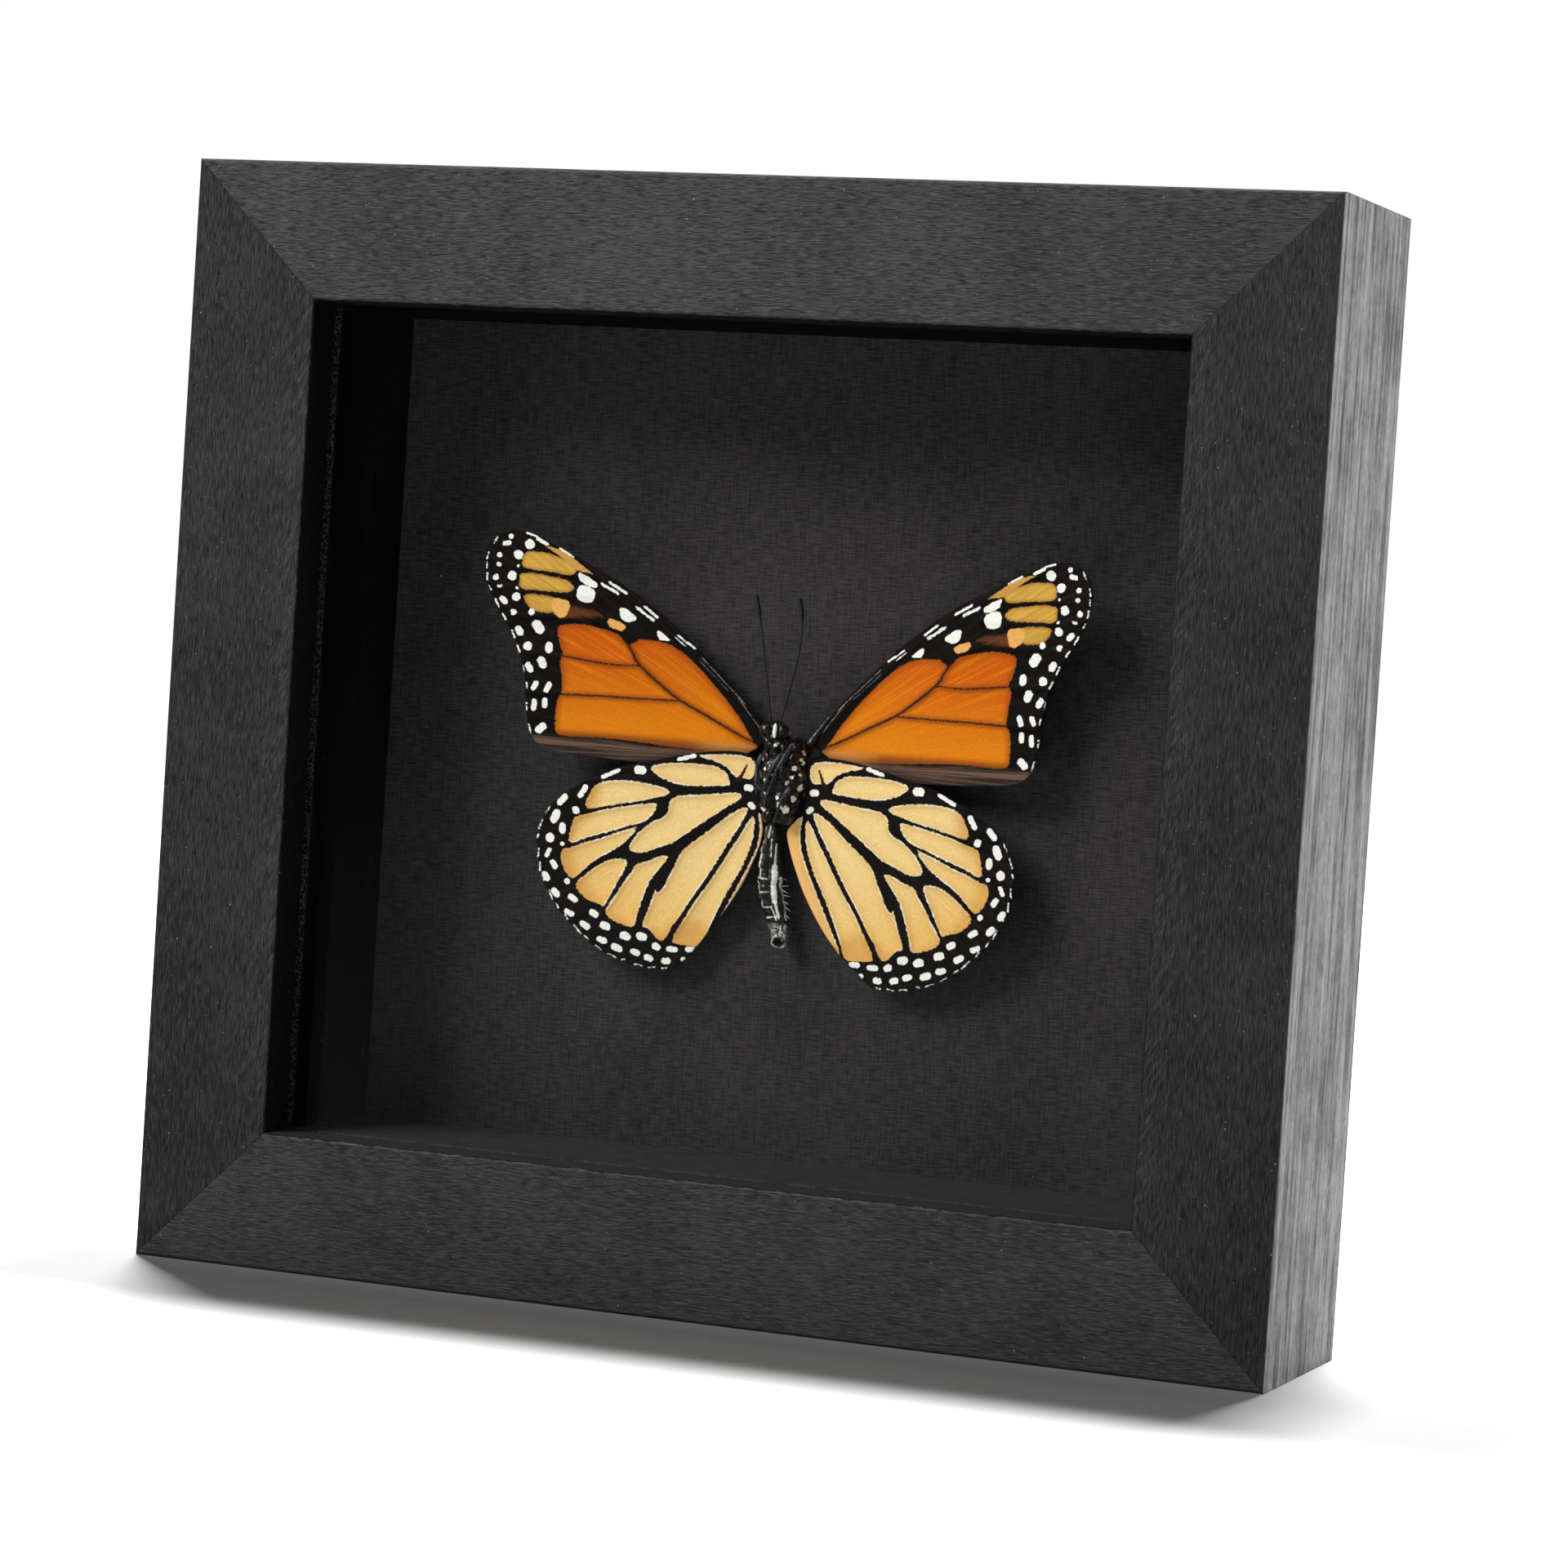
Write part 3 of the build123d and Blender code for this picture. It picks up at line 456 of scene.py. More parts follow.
# %% Steel for the buttons, screws, nails and hanger
def rolled_steel(name, bright, tarnished):
    """Rolled or plated steel with fine streaks and some tarnish."""
    steel = Finish(name, Metallic=1.0)
    streak = steel.noise(steel.stretch(steel.place, 0.08, 1.0, 1.0), 0.25, detail=3.0)
    stain = steel.noise(steel.place, 3.5, detail=5.0, roughness=0.65)
    steel.set(Base_Color=steel.mix(steel.mask(stain, 0.46, 0.72), bright, tarnished))
    steel.set(Roughness=steel.node("MapRange", steel.math("ADD", streak, stain), 0.7, 1.3, 0.24, 0.52))
    steel.relief(streak, 0.01)
    return steel


zinc = rolled_steel("zinc_steel", (0.66, 0.66, 0.64), (0.42, 0.41, 0.39))
yellow = rolled_steel("yellow_steel", (0.72, 0.60, 0.36), (0.44, 0.35, 0.20))
paint(zinc, "corner_nails", "turn_button_screws", "hanger_nails")
paint(yellow, "sawtooth_hanger", *("turn_button_%d" % number for number in range(1, 5)))
print("buttons, screws, nails and hanger finished")

# %% [markdown]
# ## Where the butterfly goes
# The specimen shows its underside. Each wing lies on its own tilted plane, so it is drawn flat, in
# millimetres out from the body and up from the wing roots, and then set by one matrix per wing. The numbers
# of that matrix are those of the solid model, and so are the outlines, which are smooth curves through a few
# points. Tracing more points would only copy the raggedness of the picture.

# %% Places and outlines
WING_ROOT_Z = 82.5
MIRROR_X = 0.3                # the butterfly's middle line
FORE_ROOT_Y, HIND_ROOT_Y = 13.6, 10.6
FORE_LIFT = {"left": 11.0, "right": 9.0}         # degrees by which the tips come towards the viewer
HIND_LIFT = 5.5
FORE_PITCH, HIND_PITCH = 2.0, 3.0
FORE_OUTLINE = ((3.1, 1.2), (4.5, 3.0), (8.0, 7.2), (13.0, 12.0), (19.0, 17.3), (25.5, 21.9), (32.5, 25.7),
                (38.5, 28.5), (42.5, 30.0), (45.6, 30.0), (47.8, 28.6), (48.8, 26.0), (48.5, 22.6), (47.0, 19.2),
                (44.4, 15.0), (42.5, 11.0), (41.6, 7.3), (41.3, 3.6), (40.6, 0.2), (39.2, -1.7), (36.5, -2.7),
                (29.5, -3.3), (20.0, -3.6), (10.0, -3.2))
HIND_OUTER = ((4.0, -5.2), (4.2, -2.2), (6.0, -1.0), (9.5, -0.9), (14.3, -1.6), (20.0, -3.0), (25.5, -4.4),
              (30.0, -6.4), (34.0, -8.9), (36.9, -11.7), (38.3, -15.0), (38.2, -18.5), (37.5, -21.8),
              (35.5, -25.5), (32.3, -28.9), (28.5, -31.9), (24.5, -33.7), (19.8, -34.6), (16.0, -34.3),
              (13.6, -32.4))
HIND_INNER = {
    "left": ((13.6, -32.4), (11.6, -29.8), (9.0, -26.2), (6.0, -21.5), (4.2, -17.5), (3.1, -14.4), (2.8, -12.2),
             (3.1, -10.4), (3.5, -8.4), (4.0, -5.2)),
    "right": ((13.6, -32.4), (10.4, -29.8), (7.2, -26.2), (4.2, -21.5), (2.4, -17.5), (1.3, -14.4), (1.0, -12.2),
              (2.5, -10.4), (3.5, -8.4), (4.0, -5.2)),
}


def wing_matrix(side, root_y, lift, pitch):
    """Takes a wing drawn flat, with its near side up, to its place in the case."""
    tilt = Matrix.Rotation(math.radians(-lift), 4, "Z") @ Matrix.Rotation(math.radians(90 + pitch), 4, "X")
    placed = Matrix.Translation((0, root_y, WING_ROOT_Z)) @ tilt
    if side == "left":
        placed = Matrix.Scale(-1, 4, (1, 0, 0)) @ placed
    return Matrix.Scale(MM, 4) @ Matrix.Translation((MIRROR_X, 0, 0)) @ placed


print("wings spread from roots", WING_ROOT_Z, "mm up")

# %% [markdown]
# ## Measuring distances on a wing
# Every mark on a wing is a shape with a crisp edge: a vein, a cell of colour, a white spot. Each is given by
# a few listed points. For each vertex of the wing the distance to the shape is worked out once and
# stored on the mesh, and the material draws the shape wherever that distance is below nought. A distance
# changes evenly from vertex to vertex, so its edge stays sharp on a mesh that is coarser than the edge.

# %% Distance helpers
def smooth_path(points, closed=False, steps=10):
    """A smooth curve through the points."""
    points = np.array(points, float)
    if closed:
        padded = np.vstack([points[-1:], points, points[:2]])
    else:
        padded = np.vstack([2 * points[:1] - points[1:2], points, 2 * points[-1:] - points[-2:-1]])
    share = np.linspace(0, 1, steps, endpoint=False)[:, None]
    spans = [0.5 * (2 * b + (c - a) * share + (2 * a - 5 * b + 4 * c - d) * share ** 2
                    + (3 * b - a - 3 * c + d) * share ** 3)
             for a, b, c, d in zip(padded, padded[1:], padded[2:], padded[3:])]
    return np.vstack(spans if closed else spans + [points[-1:]])


def from_run(places, start, end):
    """For each place: the share of a straight run at which it is nearest, and the distance from there."""
    run = end - start
    share = np.clip((places - start) @ run / max(run @ run, 1e-9), 0, 1)
    return share, np.linalg.norm(places - start - share[:, None] * run, axis=1)


def distance_to_path(places, path, half_width=(0.0, 0.0)):
    """Distance from each place to a line, less a half width that changes from its start to its end."""
    nearest = np.full(len(places), np.inf)
    widths = np.linspace(*half_width, len(path))
    for start, end, wide, narrow in zip(path, path[1:], widths, widths[1:]):
        share, gap = from_run(places, start, end)
        nearest = np.minimum(nearest, gap - (wide + (narrow - wide) * share))
    return nearest


def distance_to_shape(places, ring):
    """Distance to the edge of a closed shape, below nought inside it."""
    x, y = places.T
    within = np.zeros(len(places), bool)
    following = np.roll(ring, -1, axis=0)
    for (x1, y1), (x2, y2) in zip(ring, following):
        crosses = (y1 > y) != (y2 > y)
        slope = (x2 - x1) / (y2 - y1) if y1 != y2 else 0.0
        within ^= crosses & (x < slope * (y - y1) + x1)
    gap = distance_to_path(places, np.vstack([ring, ring[:1]]))
    return np.where(within, -gap, gap)


def nearest_of(places, shapes, steps=6):
    """The smallest distance to any of several closed shapes with rounded corners."""
    return np.min([distance_to_shape(places, smooth_path(shape, True, steps)) for shape in shapes], axis=0)


def nearest_spot(places, spots):
    """Round or oval spots: each is two ends and a radius, or one middle and a radius."""
    gaps = []
    for spot in spots:
        *ends, radius = spot
        path = np.array(ends, float).reshape(-1, 2)
        path = np.vstack([path, path[-1:] + 1e-4]) if len(path) == 1 else path
        gaps.append(distance_to_path(places, path) - radius)
    return np.min(gaps, axis=0)


root_gap = distance_to_shape(np.zeros((1, 2)), smooth_path(FORE_OUTLINE))[0]
print("the forewing starts", round(float(root_gap), 2), "mm from the body's middle")

# %% [markdown]
# ## A wing as a sheet
# A wing could be traced and filled, but its inside needs many even vertices to carry the marks and the
# relief. So a fine grid is laid over it, the squares whose middle falls outside the outline are deleted, and
# the vertices left on the rim are drawn onto the outline. Veins then stand up as low ridges, the membrane
# sags a little between them, and Solidify gives the sheet its two sides.

# %% Make the sheets
GRID_STEP = 0.19
WING_THICKNESS = 0.09
VEIN_HEIGHT, VEIN_HALF = 0.16, 0.28              # the ridge over a vein
SAG_DEPTH, SAG_HALF = 0.12, 1.5                  # how the membrane sags away from it
PLAN_UNIT, RAY_UNIT = 10.0, 40.0                 # millimetres to one unit of each UV map
RAYS_FROM, RAY_SPREAD = 2.0, 3.0                 # start this far below the wing's root; units to one radian


def wing_sheet(outline):
    """A flat grid trimmed to an outline, in millimetres."""
    low, high = outline.min(0), outline.max(0)
    counts = np.ceil((high - low) / GRID_STEP).astype(int)
    bm = bmesh.new()
    bmesh.ops.create_grid(bm, x_segments=int(counts[0]), y_segments=int(counts[1]), size=0.5)
    middle, span = (low + high) / 2, high - low
    bmesh.ops.transform(bm, verts=bm.verts, matrix=Matrix.Translation((*middle, 0))
                        @ Matrix.Diagonal((*span, 1, 1)))
    centres = np.array([face.calc_center_median()[:2] for face in bm.faces])
    outside = distance_to_shape(centres, outline) > 0
    bmesh.ops.delete(bm, geom=[face for face, out in zip(list(bm.faces), outside) if out], context="FACES")
    rim = [vert for vert in bm.verts if vert.is_boundary]
    places = np.array([vert.co[:2] for vert in rim])
    nearest = np.full(len(rim), np.inf)
    drawn = places.copy()
    for start, end in zip(outline, np.roll(outline, -1, axis=0)):
        share, gap = from_run(places, start, end)
        closer = gap < nearest
        drawn[closer], nearest[closer] = (start + share[:, None] * (end - start))[closer], gap[closer]
    for vert, point in zip(rim, drawn):
        vert.co.xy = point
    return bm


def store(mesh, marks, places):
    """Keep the distance to each mark at every vertex of a mesh."""
    for mark, measure in marks.items():
        mesh.attributes.new(mark, "FLOAT", "POINT").data.foreach_set("value", measure(places).astype(np.float32))


def add_piece(name, mesh, finish, stands_for):
    """Make a smooth piece that rides on the case in place of a solid one."""
    mesh.shade_smooth()
    mesh.materials.append(finish.material)
    piece = bpy.data.objects.new(name, mesh)
    bpy.context.scene.collection.objects.link(piece)
    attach(piece, "case")
    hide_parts(stands_for)
    print(name, len(mesh.vertices), "vertices")


def finish_wing(bm, name, finish, stands_for, matrix, marks, seed):
    """Raise the veins, give the sheet its second side, store the marks on it and put it in its place."""
    flat = np.array([vert.co[:2] for vert in bm.verts])
    vein = marks["vein"](flat)
    for vert, gap in zip(bm.verts, vein):
        out, up = vert.co.xy
        ridge = VEIN_HEIGHT * math.exp(-(max(gap, 0.0) / VEIN_HALF) ** 2)
        sag = SAG_DEPTH * math.exp(-(max(gap, 0.0) / SAG_HALF) ** 2)
        # slow waves and small creases, both less near the root
        wave = 0.22 * noise.noise((out / 11, up / 9, seed)) + 0.05 * noise.noise((out / 2.5, up / 2.5, seed + 5))
        vert.co.z = SAG_DEPTH + ridge + sag + wave * min(1.0, out / 12)
    bmesh.ops.recalc_face_normals(bm, faces=bm.faces)
    if next(iter(bm.faces)).normal.z < 0:
        bmesh.ops.reverse_faces(bm, faces=bm.faces)
    bmesh.ops.solidify(bm, geom=bm.faces[:], thickness=WING_THICKNESS)
    mesh = bpy.data.meshes.new(name)
    bm.to_mesh(mesh)
    bm.free()
    plan = np.empty(len(mesh.vertices) * 3)
    mesh.vertices.foreach_get("co", plan)
    plan = plan.reshape(-1, 3)[:, :2].copy()
    store(mesh, marks, plan)
    corner = np.empty(len(mesh.loops), dtype=np.int32)
    mesh.loops.foreach_get("vertex_index", corner)
    out, up = plan[:, 0], plan[:, 1] + RAYS_FROM
    rays = np.column_stack([np.hypot(out, up) / RAY_UNIT, np.arctan2(up, out) * RAY_SPREAD])
    for chart, places in (("plan", plan / PLAN_UNIT), ("rays", rays)):
        mesh.uv_layers.new(name=chart).data.foreach_set("uv", places[corner].astype(np.float32).ravel())
    mesh.transform(matrix)
    if matrix.determinant() < 0:
        mesh.flip_normals()
    add_piece(name, mesh, finish, stands_for)


print("wings gridded every", GRID_STEP, "mm")

# %% [markdown]
# ## Marks of the forewing
# Under the forewing most of the cells are orange, with thin brown veins. The tip and the outer margin are
# black with two rows of white spots and a white dash between every two veins at the very edge; the tip also
# has a few tan cells. All points are given in millimetres on the flat wing.

# %% Forewing cells, veins and spots
ORANGE_FIELD = ((5.2, -0.2), (6.3, 1.2), (8.1, 3.8), (10.0, 6.1), (12.1, 8.4), (14.6, 10.9), (17.3, 13.1),
                (19.9, 14.5), (22.4, 14.9), (24.4, 14.8), (26.0, 14.0), (27.4, 15.3), (29.1, 15.9), (31.6, 16.4),
                (34.1, 16.6), (36.4, 16.3), (37.0, 15.6), (36.6, 13.5), (36.0, 12.0), (36.4, 10.8), (36.0, 8.6),
                (35.9, 6.2), (36.5, 4.7), (36.6, 2.6), (36.5, 0.3), (34.9, -0.4), (30.9, -0.3), (26.6, -0.4),
                (21.6, -0.7), (16.6, -1.0), (12.4, -1.2), (8.8, -1.2), (5.9, -0.9))
TAN_CELLS = (
    ((34.6, 24.7), (35.6, 25.6), (37.3, 26.5), (39.4, 27.1), (41.8, 27.1), (42.8, 26.6), (43.0, 25.0),
     (41.8, 24.5), (38.2, 24.2), (35.5, 23.9)),
    ((34.9, 22.3), (36.1, 23.2), (38.2, 23.5), (41.1, 23.9), (43.1, 23.7), (43.4, 22.9), (42.9, 21.5),
     (40.2, 21.3), (36.6, 21.2), (35.2, 21.5)),
    ((37.6, 20.2), (40.2, 20.7), (42.4, 20.5), (42.1, 19.3), (41.1, 18.4), (39.5, 18.0), (37.9, 18.2)),
)
COSTAL_CELL = ((31.1, 23.7), (32.3, 24.7), (34.5, 26.3), (36.9, 27.6), (39.2, 28.2), (39.7, 28.0), (37.3, 26.5),
               (34.9, 24.9), (33.9, 24.4), (32.5, 24.2))
PALE_CELLS = (((26.7, 16.9), (29.1, 17.8), (29.1, 16.6), (27.1, 16.0)),
              ((35.5, 19.9), (37.6, 20.3), (38.2, 19.3), (37.6, 17.9), (36.2, 17.4), (35.5, 18.6)))
WARM_SMUDGE = ((30.2, 18.0), (31.8, 18.8), (35.3, 19.5), (38.1, 20.2), (38.6, 18.3), (36.2, 17.4), (33.3, 17.6))
TRAILING_BAND = ((2.5, -0.5), (9.5, -1.1), (16.7, -1.2), (21.7, -1.2), (26.7, -0.8), (30.9, -0.6), (34.9, -0.6),
                 (37.4, -0.5), (40.1, -0.7), (41.5, -2.0), (38.0, -4.5), (25.0, -5.5), (2.5, -5.0))
WHITE_PATCHES = (((31.4, 23.0), (34.0, 24.4), (34.1, 23.7), (33.6, 22.9), (31.6, 22.2)),
                 ((31.6, 21.8), (33.9, 22.5), (34.2, 20.4), (32.0, 20.0)),
                 ((25.0, 18.2), (27.4, 19.6), (27.4, 17.9), (26.0, 17.4)),
                 ((19.6, 15.1), (21.6, 16.5), (21.4, 15.1), (20.6, 15.0)))
COSTAL_DASHES = ((15.8, 14.1, 18.4, 15.9, 0.16), (17.1, 14.3, 18.8, 15.6, 0.08), (21.7, 18.4, 23.8, 19.9, 0.19),
                 (22.3, 17.9, 25.0, 19.7, 0.22), (26.7, 21.7, 29.3, 23.2, 0.20), (28.0, 21.6, 30.6, 22.9, 0.22),
                 (35.2, 26.7, 37.3, 27.8, 0.17), (39.3, 28.3, 40.9, 29.1, 0.27), (41.1, 29.5, 42.5, 29.9, 0.22))
COSTAL_HAIRLINES = ((5.2, 2.9, 8.6, 7.0, 0.07), (7.6, 6.3, 14.7, 12.9, 0.08), (10.3, 8.1, 14.9, 12.3, 0.06))
INNER_ROW = ((42.0, 28.2, 0.78), (43.7, 26.5, 0.72), (43.6, 24.8, 0.24), (44.5, 23.3, 0.70), (43.6, 21.5, 0.24),
             (43.7, 20.1, 0.66), (41.2, 18.0, 0.52), (39.8, 15.5, 40.3, 16.1, 0.76), (38.2, 12.5, 38.2, 13.1, 0.56),
             (39.0, 10.2, 39.3, 10.8, 0.62), (37.9, 7.2, 38.2, 6.4, 0.46), (38.4, 4.8, 38.4, 4.0, 0.42),
             (38.5, 0.8, 39.1, 0.3, 0.60))
OUTER_ROW = ((45.0, 29.2, 0.40), (45.3, 28.2, 45.9, 28.1, 0.40), (46.6, 26.3, 0.44), (46.6, 24.9, 0.38),
             (47.0, 22.9, 0.48), (46.0, 21.7, 46.5, 21.5, 0.20), (45.4, 19.3, 45.8, 19.7, 0.46),
             (44.0, 17.8, 0.50), (42.8, 14.8, 43.1, 15.3, 0.54), (41.5, 12.8, 0.68), (40.9, 9.3, 41.3, 9.9, 0.50),
             (39.9, 7.3, 40.3, 6.5, 0.40), (40.0, 4.5, 40.1, 3.5, 0.42))
EDGE_DASHES = ((47.1, 28.9, 47.6, 28.0, 0.13), (48.3, 26.6, 48.5, 25.6, 0.13), (48.5, 25.0, 48.5, 24.2, 0.12),
               (48.4, 23.4, 48.3, 22.4, 0.14), (48.0, 21.6, 47.6, 20.9, 0.11), (46.9, 19.5, 46.3, 18.5, 0.15),
               (45.6, 17.4, 45.1, 16.6, 0.14), (44.1, 15.0, 43.6, 14.0, 0.15), (43.1, 12.8, 42.7, 11.9, 0.15),
               (42.1, 9.7, 41.8, 8.7, 0.15), (41.4, 7.3, 41.3, 6.5, 0.14), (41.2, 4.2, 41.2, 3.2, 0.14),
               (40.7, 1.0, 40.3, -0.3, 0.14))
FORE_VEINS = {                # name: points, and half widths at the two ends
    "cubitus": (((4.3, 0.0), (8.6, 1.8), (13.5, 4.2), (17.6, 6.2), (21.0, 8.6), (24.1, 11.1), (25.4, 13.1),
                 (26.3, 14.5)), (0.17, 0.24)),
    "lower branch": (((17.6, 6.1), (23.3, 6.0), (29.1, 6.0), (36.2, 5.9)), (0.13, 0.17)),
    "upper branch": (((24.1, 11.0), (28.7, 10.9), (36.2, 11.7)), (0.12, 0.15)),
}
FORE_BLACK_VEINS = (((4.5, 1.2), (9.4, 7.2), (16.0, 13.4), (24.9, 20.2), (34.1, 25.6), (42.0, 29.0)),
                    ((26.2, 14.4), (30.1, 16.9), (35.0, 17.5), (45.0, 17.2)),
                    ((34.1, 23.7), (38.0, 24.1), (42.5, 24.4), (48.0, 25.4)),
                    ((31.0, 21.0), (36.5, 20.9), (42.5, 21.1), (48.0, 22.2)),
                    ((36.2, 11.7), (42.2, 11.7)), ((36.2, 5.9), (41.5, 5.8)))
BLACK_VEIN_HALF = 0.15


def brown_vein_gap(places):
    """Distance to the nearest of the veins that are drawn as brown lines."""
    return np.min([distance_to_path(places, smooth_path(points), widths) for points, widths in FORE_VEINS.values()],
                  axis=0)


fore_marks = {
    "vein": lambda p: np.minimum(brown_vein_gap(p), np.min(
        [distance_to_path(p, smooth_path(vein)) - BLACK_VEIN_HALF for vein in FORE_BLACK_VEINS], axis=0)),
    "thin_vein": brown_vein_gap,
    "orange": lambda p: distance_to_shape(p, smooth_path(ORANGE_FIELD, True, 4)),
    "tan": lambda p: nearest_of(p, TAN_CELLS),
    "costal": lambda p: nearest_of(p, (COSTAL_CELL,)),
    "pale": lambda p: nearest_of(p, PALE_CELLS, 3),
    "warm": lambda p: nearest_of(p, (WARM_SMUDGE,)),
    "band": lambda p: nearest_of(p, (TRAILING_BAND,)),
    "hairline": lambda p: nearest_spot(p, COSTAL_HAIRLINES),
    "white": lambda p: np.minimum(nearest_of(p, WHITE_PATCHES, 3),
                                  nearest_spot(p, INNER_ROW + OUTER_ROW + EDGE_DASHES + COSTAL_DASHES)),
}
print(len(fore_marks), "kinds of mark,", len(INNER_ROW + OUTER_ROW), "spots in the two rows")

# %% [markdown]
# ## Marks of the hindwing
# The hindwing is the other way round: broad black veins leave buff cells between them, each with a pale
# fringe, and its black margin has two rows of white spots. So here the cells are drawn and what is left is
# black. The dark swelling on one vein is the scent pouch, which marks a male.

# %% Hindwing cells and spots
HIND_CELLS = (
    ((4.4, -3.6), (4.7, -2.1), (6.3, -1.4), (9.6, -1.4), (12.8, -1.7), (13.2, -2.0), (11.0, -2.5), (9.4, -3.1),
     (8.2, -4.1), (7.5, -4.7), (6.8, -4.7), (5.1, -4.8)),
    ((8.3, -5.5), (8.9, -4.2), (10.2, -3.4), (12.7, -3.1), (15.4, -3.1), (18.2, -3.3), (20.4, -3.9),
     (20.8, -4.4), (19.9, -5.2), (18.3, -6.0), (15.8, -6.5), (13.3, -6.5), (10.8, -6.3), (8.6, -6.1)),
    ((17.6, -7.6), (18.9, -7.0), (21.3, -6.6), (24.4, -6.4), (27.1, -6.6), (29.1, -7.3), (30.1, -8.5),
     (30.8, -10.2), (30.4, -11.1), (28.4, -10.8), (25.6, -10.1), (22.2, -9.4), (19.5, -8.7), (18.1, -8.2)),
    ((19.6, -9.6), (21.4, -9.7), (24.2, -10.2), (27.3, -10.9), (30.0, -11.7), (32.3, -12.5), (32.9, -13.9),
     (33.2, -16.1), (32.4, -16.5), (30.2, -15.5), (27.1, -14.5), (24.0, -13.4), (21.5, -12.5), (20.0, -11.1)),
    ((22.5, -13.5), (24.6, -14.0), (27.4, -15.1), (30.2, -16.1), (32.7, -17.1), (34.1, -17.6), (34.4, -18.6),
     (33.9, -20.4), (32.8, -21.8), (31.9, -21.7), (30.0, -19.9), (28.0, -18.3), (25.8, -17.0), (24.1, -15.6)),
    ((6.3, -7.3), (7.4, -7.0), (9.8, -7.3), (12.8, -7.7), (15.0, -7.9), (16.7, -8.3), (17.6, -9.2),
     (17.7, -10.5), (18.4, -11.4), (20.1, -12.3), (21.8, -13.7), (23.0, -15.2), (23.6, -16.6), (22.8, -17.2),
     (21.1, -17.1), (18.9, -16.2), (16.9, -15.4), (14.7, -13.8), (11.8, -11.7), (9.0, -9.6), (6.8, -8.2)),
    ((23.9, -18.5), (25.5, -18.3), (27.5, -19.0), (29.2, -20.1), (31.2, -21.9), (31.8, -22.9), (31.2, -23.9),
     (29.9, -24.9), (28.2, -25.4), (27.2, -25.7), (26.3, -24.3), (25.1, -21.8), (24.2, -20.1)),
    ((17.4, -17.4), (18.3, -17.3), (20.3, -18.2), (22.3, -19.0), (23.1, -20.2), (24.6, -22.4), (26.0, -24.8),
     (26.9, -26.5), (26.1, -27.5), (24.2, -28.3), (22.3, -28.4), (21.7, -26.2), (20.9, -23.7), (20.1, -21.5),
     (18.7, -19.5), (17.8, -18.3)),
    ((5.2, -9.4), (6.3, -9.3), (8.5, -10.7), (11.0, -12.8), (13.6, -14.9), (15.3, -16.5), (16.2, -18.5),
     (17.3, -20.7), (17.7, -21.8), (18.7, -22.9), (19.2, -22.8), (19.7, -24.3), (20.4, -26.3), (20.9, -28.1),
     (19.8, -28.7), (18.5, -30.0), (17.4, -30.1), (16.2, -28.1), (14.7, -25.7), (13.0, -23.0), (10.7, -19.4),
     (8.4, -15.3), (6.3, -11.9)),
    ((4.2, -10.5), (4.8, -10.7), (6.4, -13.4), (8.4, -16.8), (10.4, -20.2), (12.5, -23.3), (14.2, -26.2),
     (15.7, -28.9), (16.0, -30.3), (14.1, -30.7), (12.1, -30.7), (11.2, -30.0), (10.4, -27.8), (8.9, -24.4),
     (7.2, -20.9), (5.4, -17.5), (4.3, -14.0), (4.1, -12.0)),
    ((-3.0, -12.3), (1.3, -11.0), (3.4, -9.8), (3.5, -10.6), (3.3, -12.6), (3.7, -15.1), (4.9, -18.1),
     (6.3, -21.0), (7.8, -23.9), (9.3, -26.9), (10.6, -29.9), (8.0, -30.5), (0.0, -24.0)),
)
HIND_SPOTS = (
    (22.1, -4.7, 22.7, -4.7, 0.66), (25.8, -4.95, 28.3, -6.2, 0.30), (14.0, -1.95, 16.4, -2.65, 0.30),
    (30.9, -7.9, 31.7, -9.2, 0.42), (34.1, -9.6, 34.9, -10.5, 0.48), (32.3, -11.5, 0.60),
    (35.3, -12.2, 35.7, -13.1, 0.62), (34.3, -14.0, 34.3, -14.7, 0.50), (36.2, -16.0, 0.70), (34.2, -16.8, 0.34),
    (36.2, -17.8, 36.6, -18.7, 0.32), (35.2, -20.3, 35.6, -19.7, 0.44), (36.4, -22.2, 36.8, -21.6, 0.48),
    (33.2, -22.4, 0.48), (34.7, -24.5, 35.2, -24.0, 0.50), (31.8, -25.1, 32.5, -24.7, 0.46),
    (32.2, -27.3, 33.0, -27.0, 0.44), (28.4, -27.1, 28.9, -26.8, 0.52), (29.6, -29.1, 30.4, -28.6, 0.48),
    (26.5, -28.8, 27.1, -28.6, 0.56), (26.8, -31.0, 27.6, -30.8, 0.46), (23.3, -30.1, 23.8, -29.9, 0.62),
    (24.4, -32.0, 25.2, -31.7, 0.52), (20.7, -29.9, 21.2, -29.8, 0.62), (21.5, -32.4, 22.2, -32.2, 0.44),
    (18.4, -31.3, 18.8, -31.1, 0.52), (19.4, -33.1, 20.0, -32.9, 0.46), (15.6, -31.4, 16.6, -31.4, 0.42),
    (16.6, -33.2, 17.3, -33.3, 0.44), (12.6, -31.2, 13.6, -31.2, 0.42), (13.8, -32.9, 14.3, -32.8, 0.36),
    (5.0, -6.2, 5.6, -6.1, 0.48), (4.5, -9.0, 4.9, -8.6, 0.42),
)
HIND_VEIN_INSET = 0.25            # the ridge of a vein lies this far inside its black
HIND_STUB = ((5.8, -2.8), (6.4, -4.1), (6.9, -5.0))       # a short spur of vein near the root
HIND_MIDDLE = np.array([19.0, -17.0])
HIND_DASH_PITCH = 2.35            # from one scallop of the rim, and one dash, to the next
HIND_RIM_SPAN = (38.0, 76.0)      # where the scallops start and end, along the rim from the wing's root
SCALLOP_DEPTH = 0.30
RIM_STARTS_AT = 8 * 10            # the darkened rim leaves out the leading edge: ten points to each of its spans


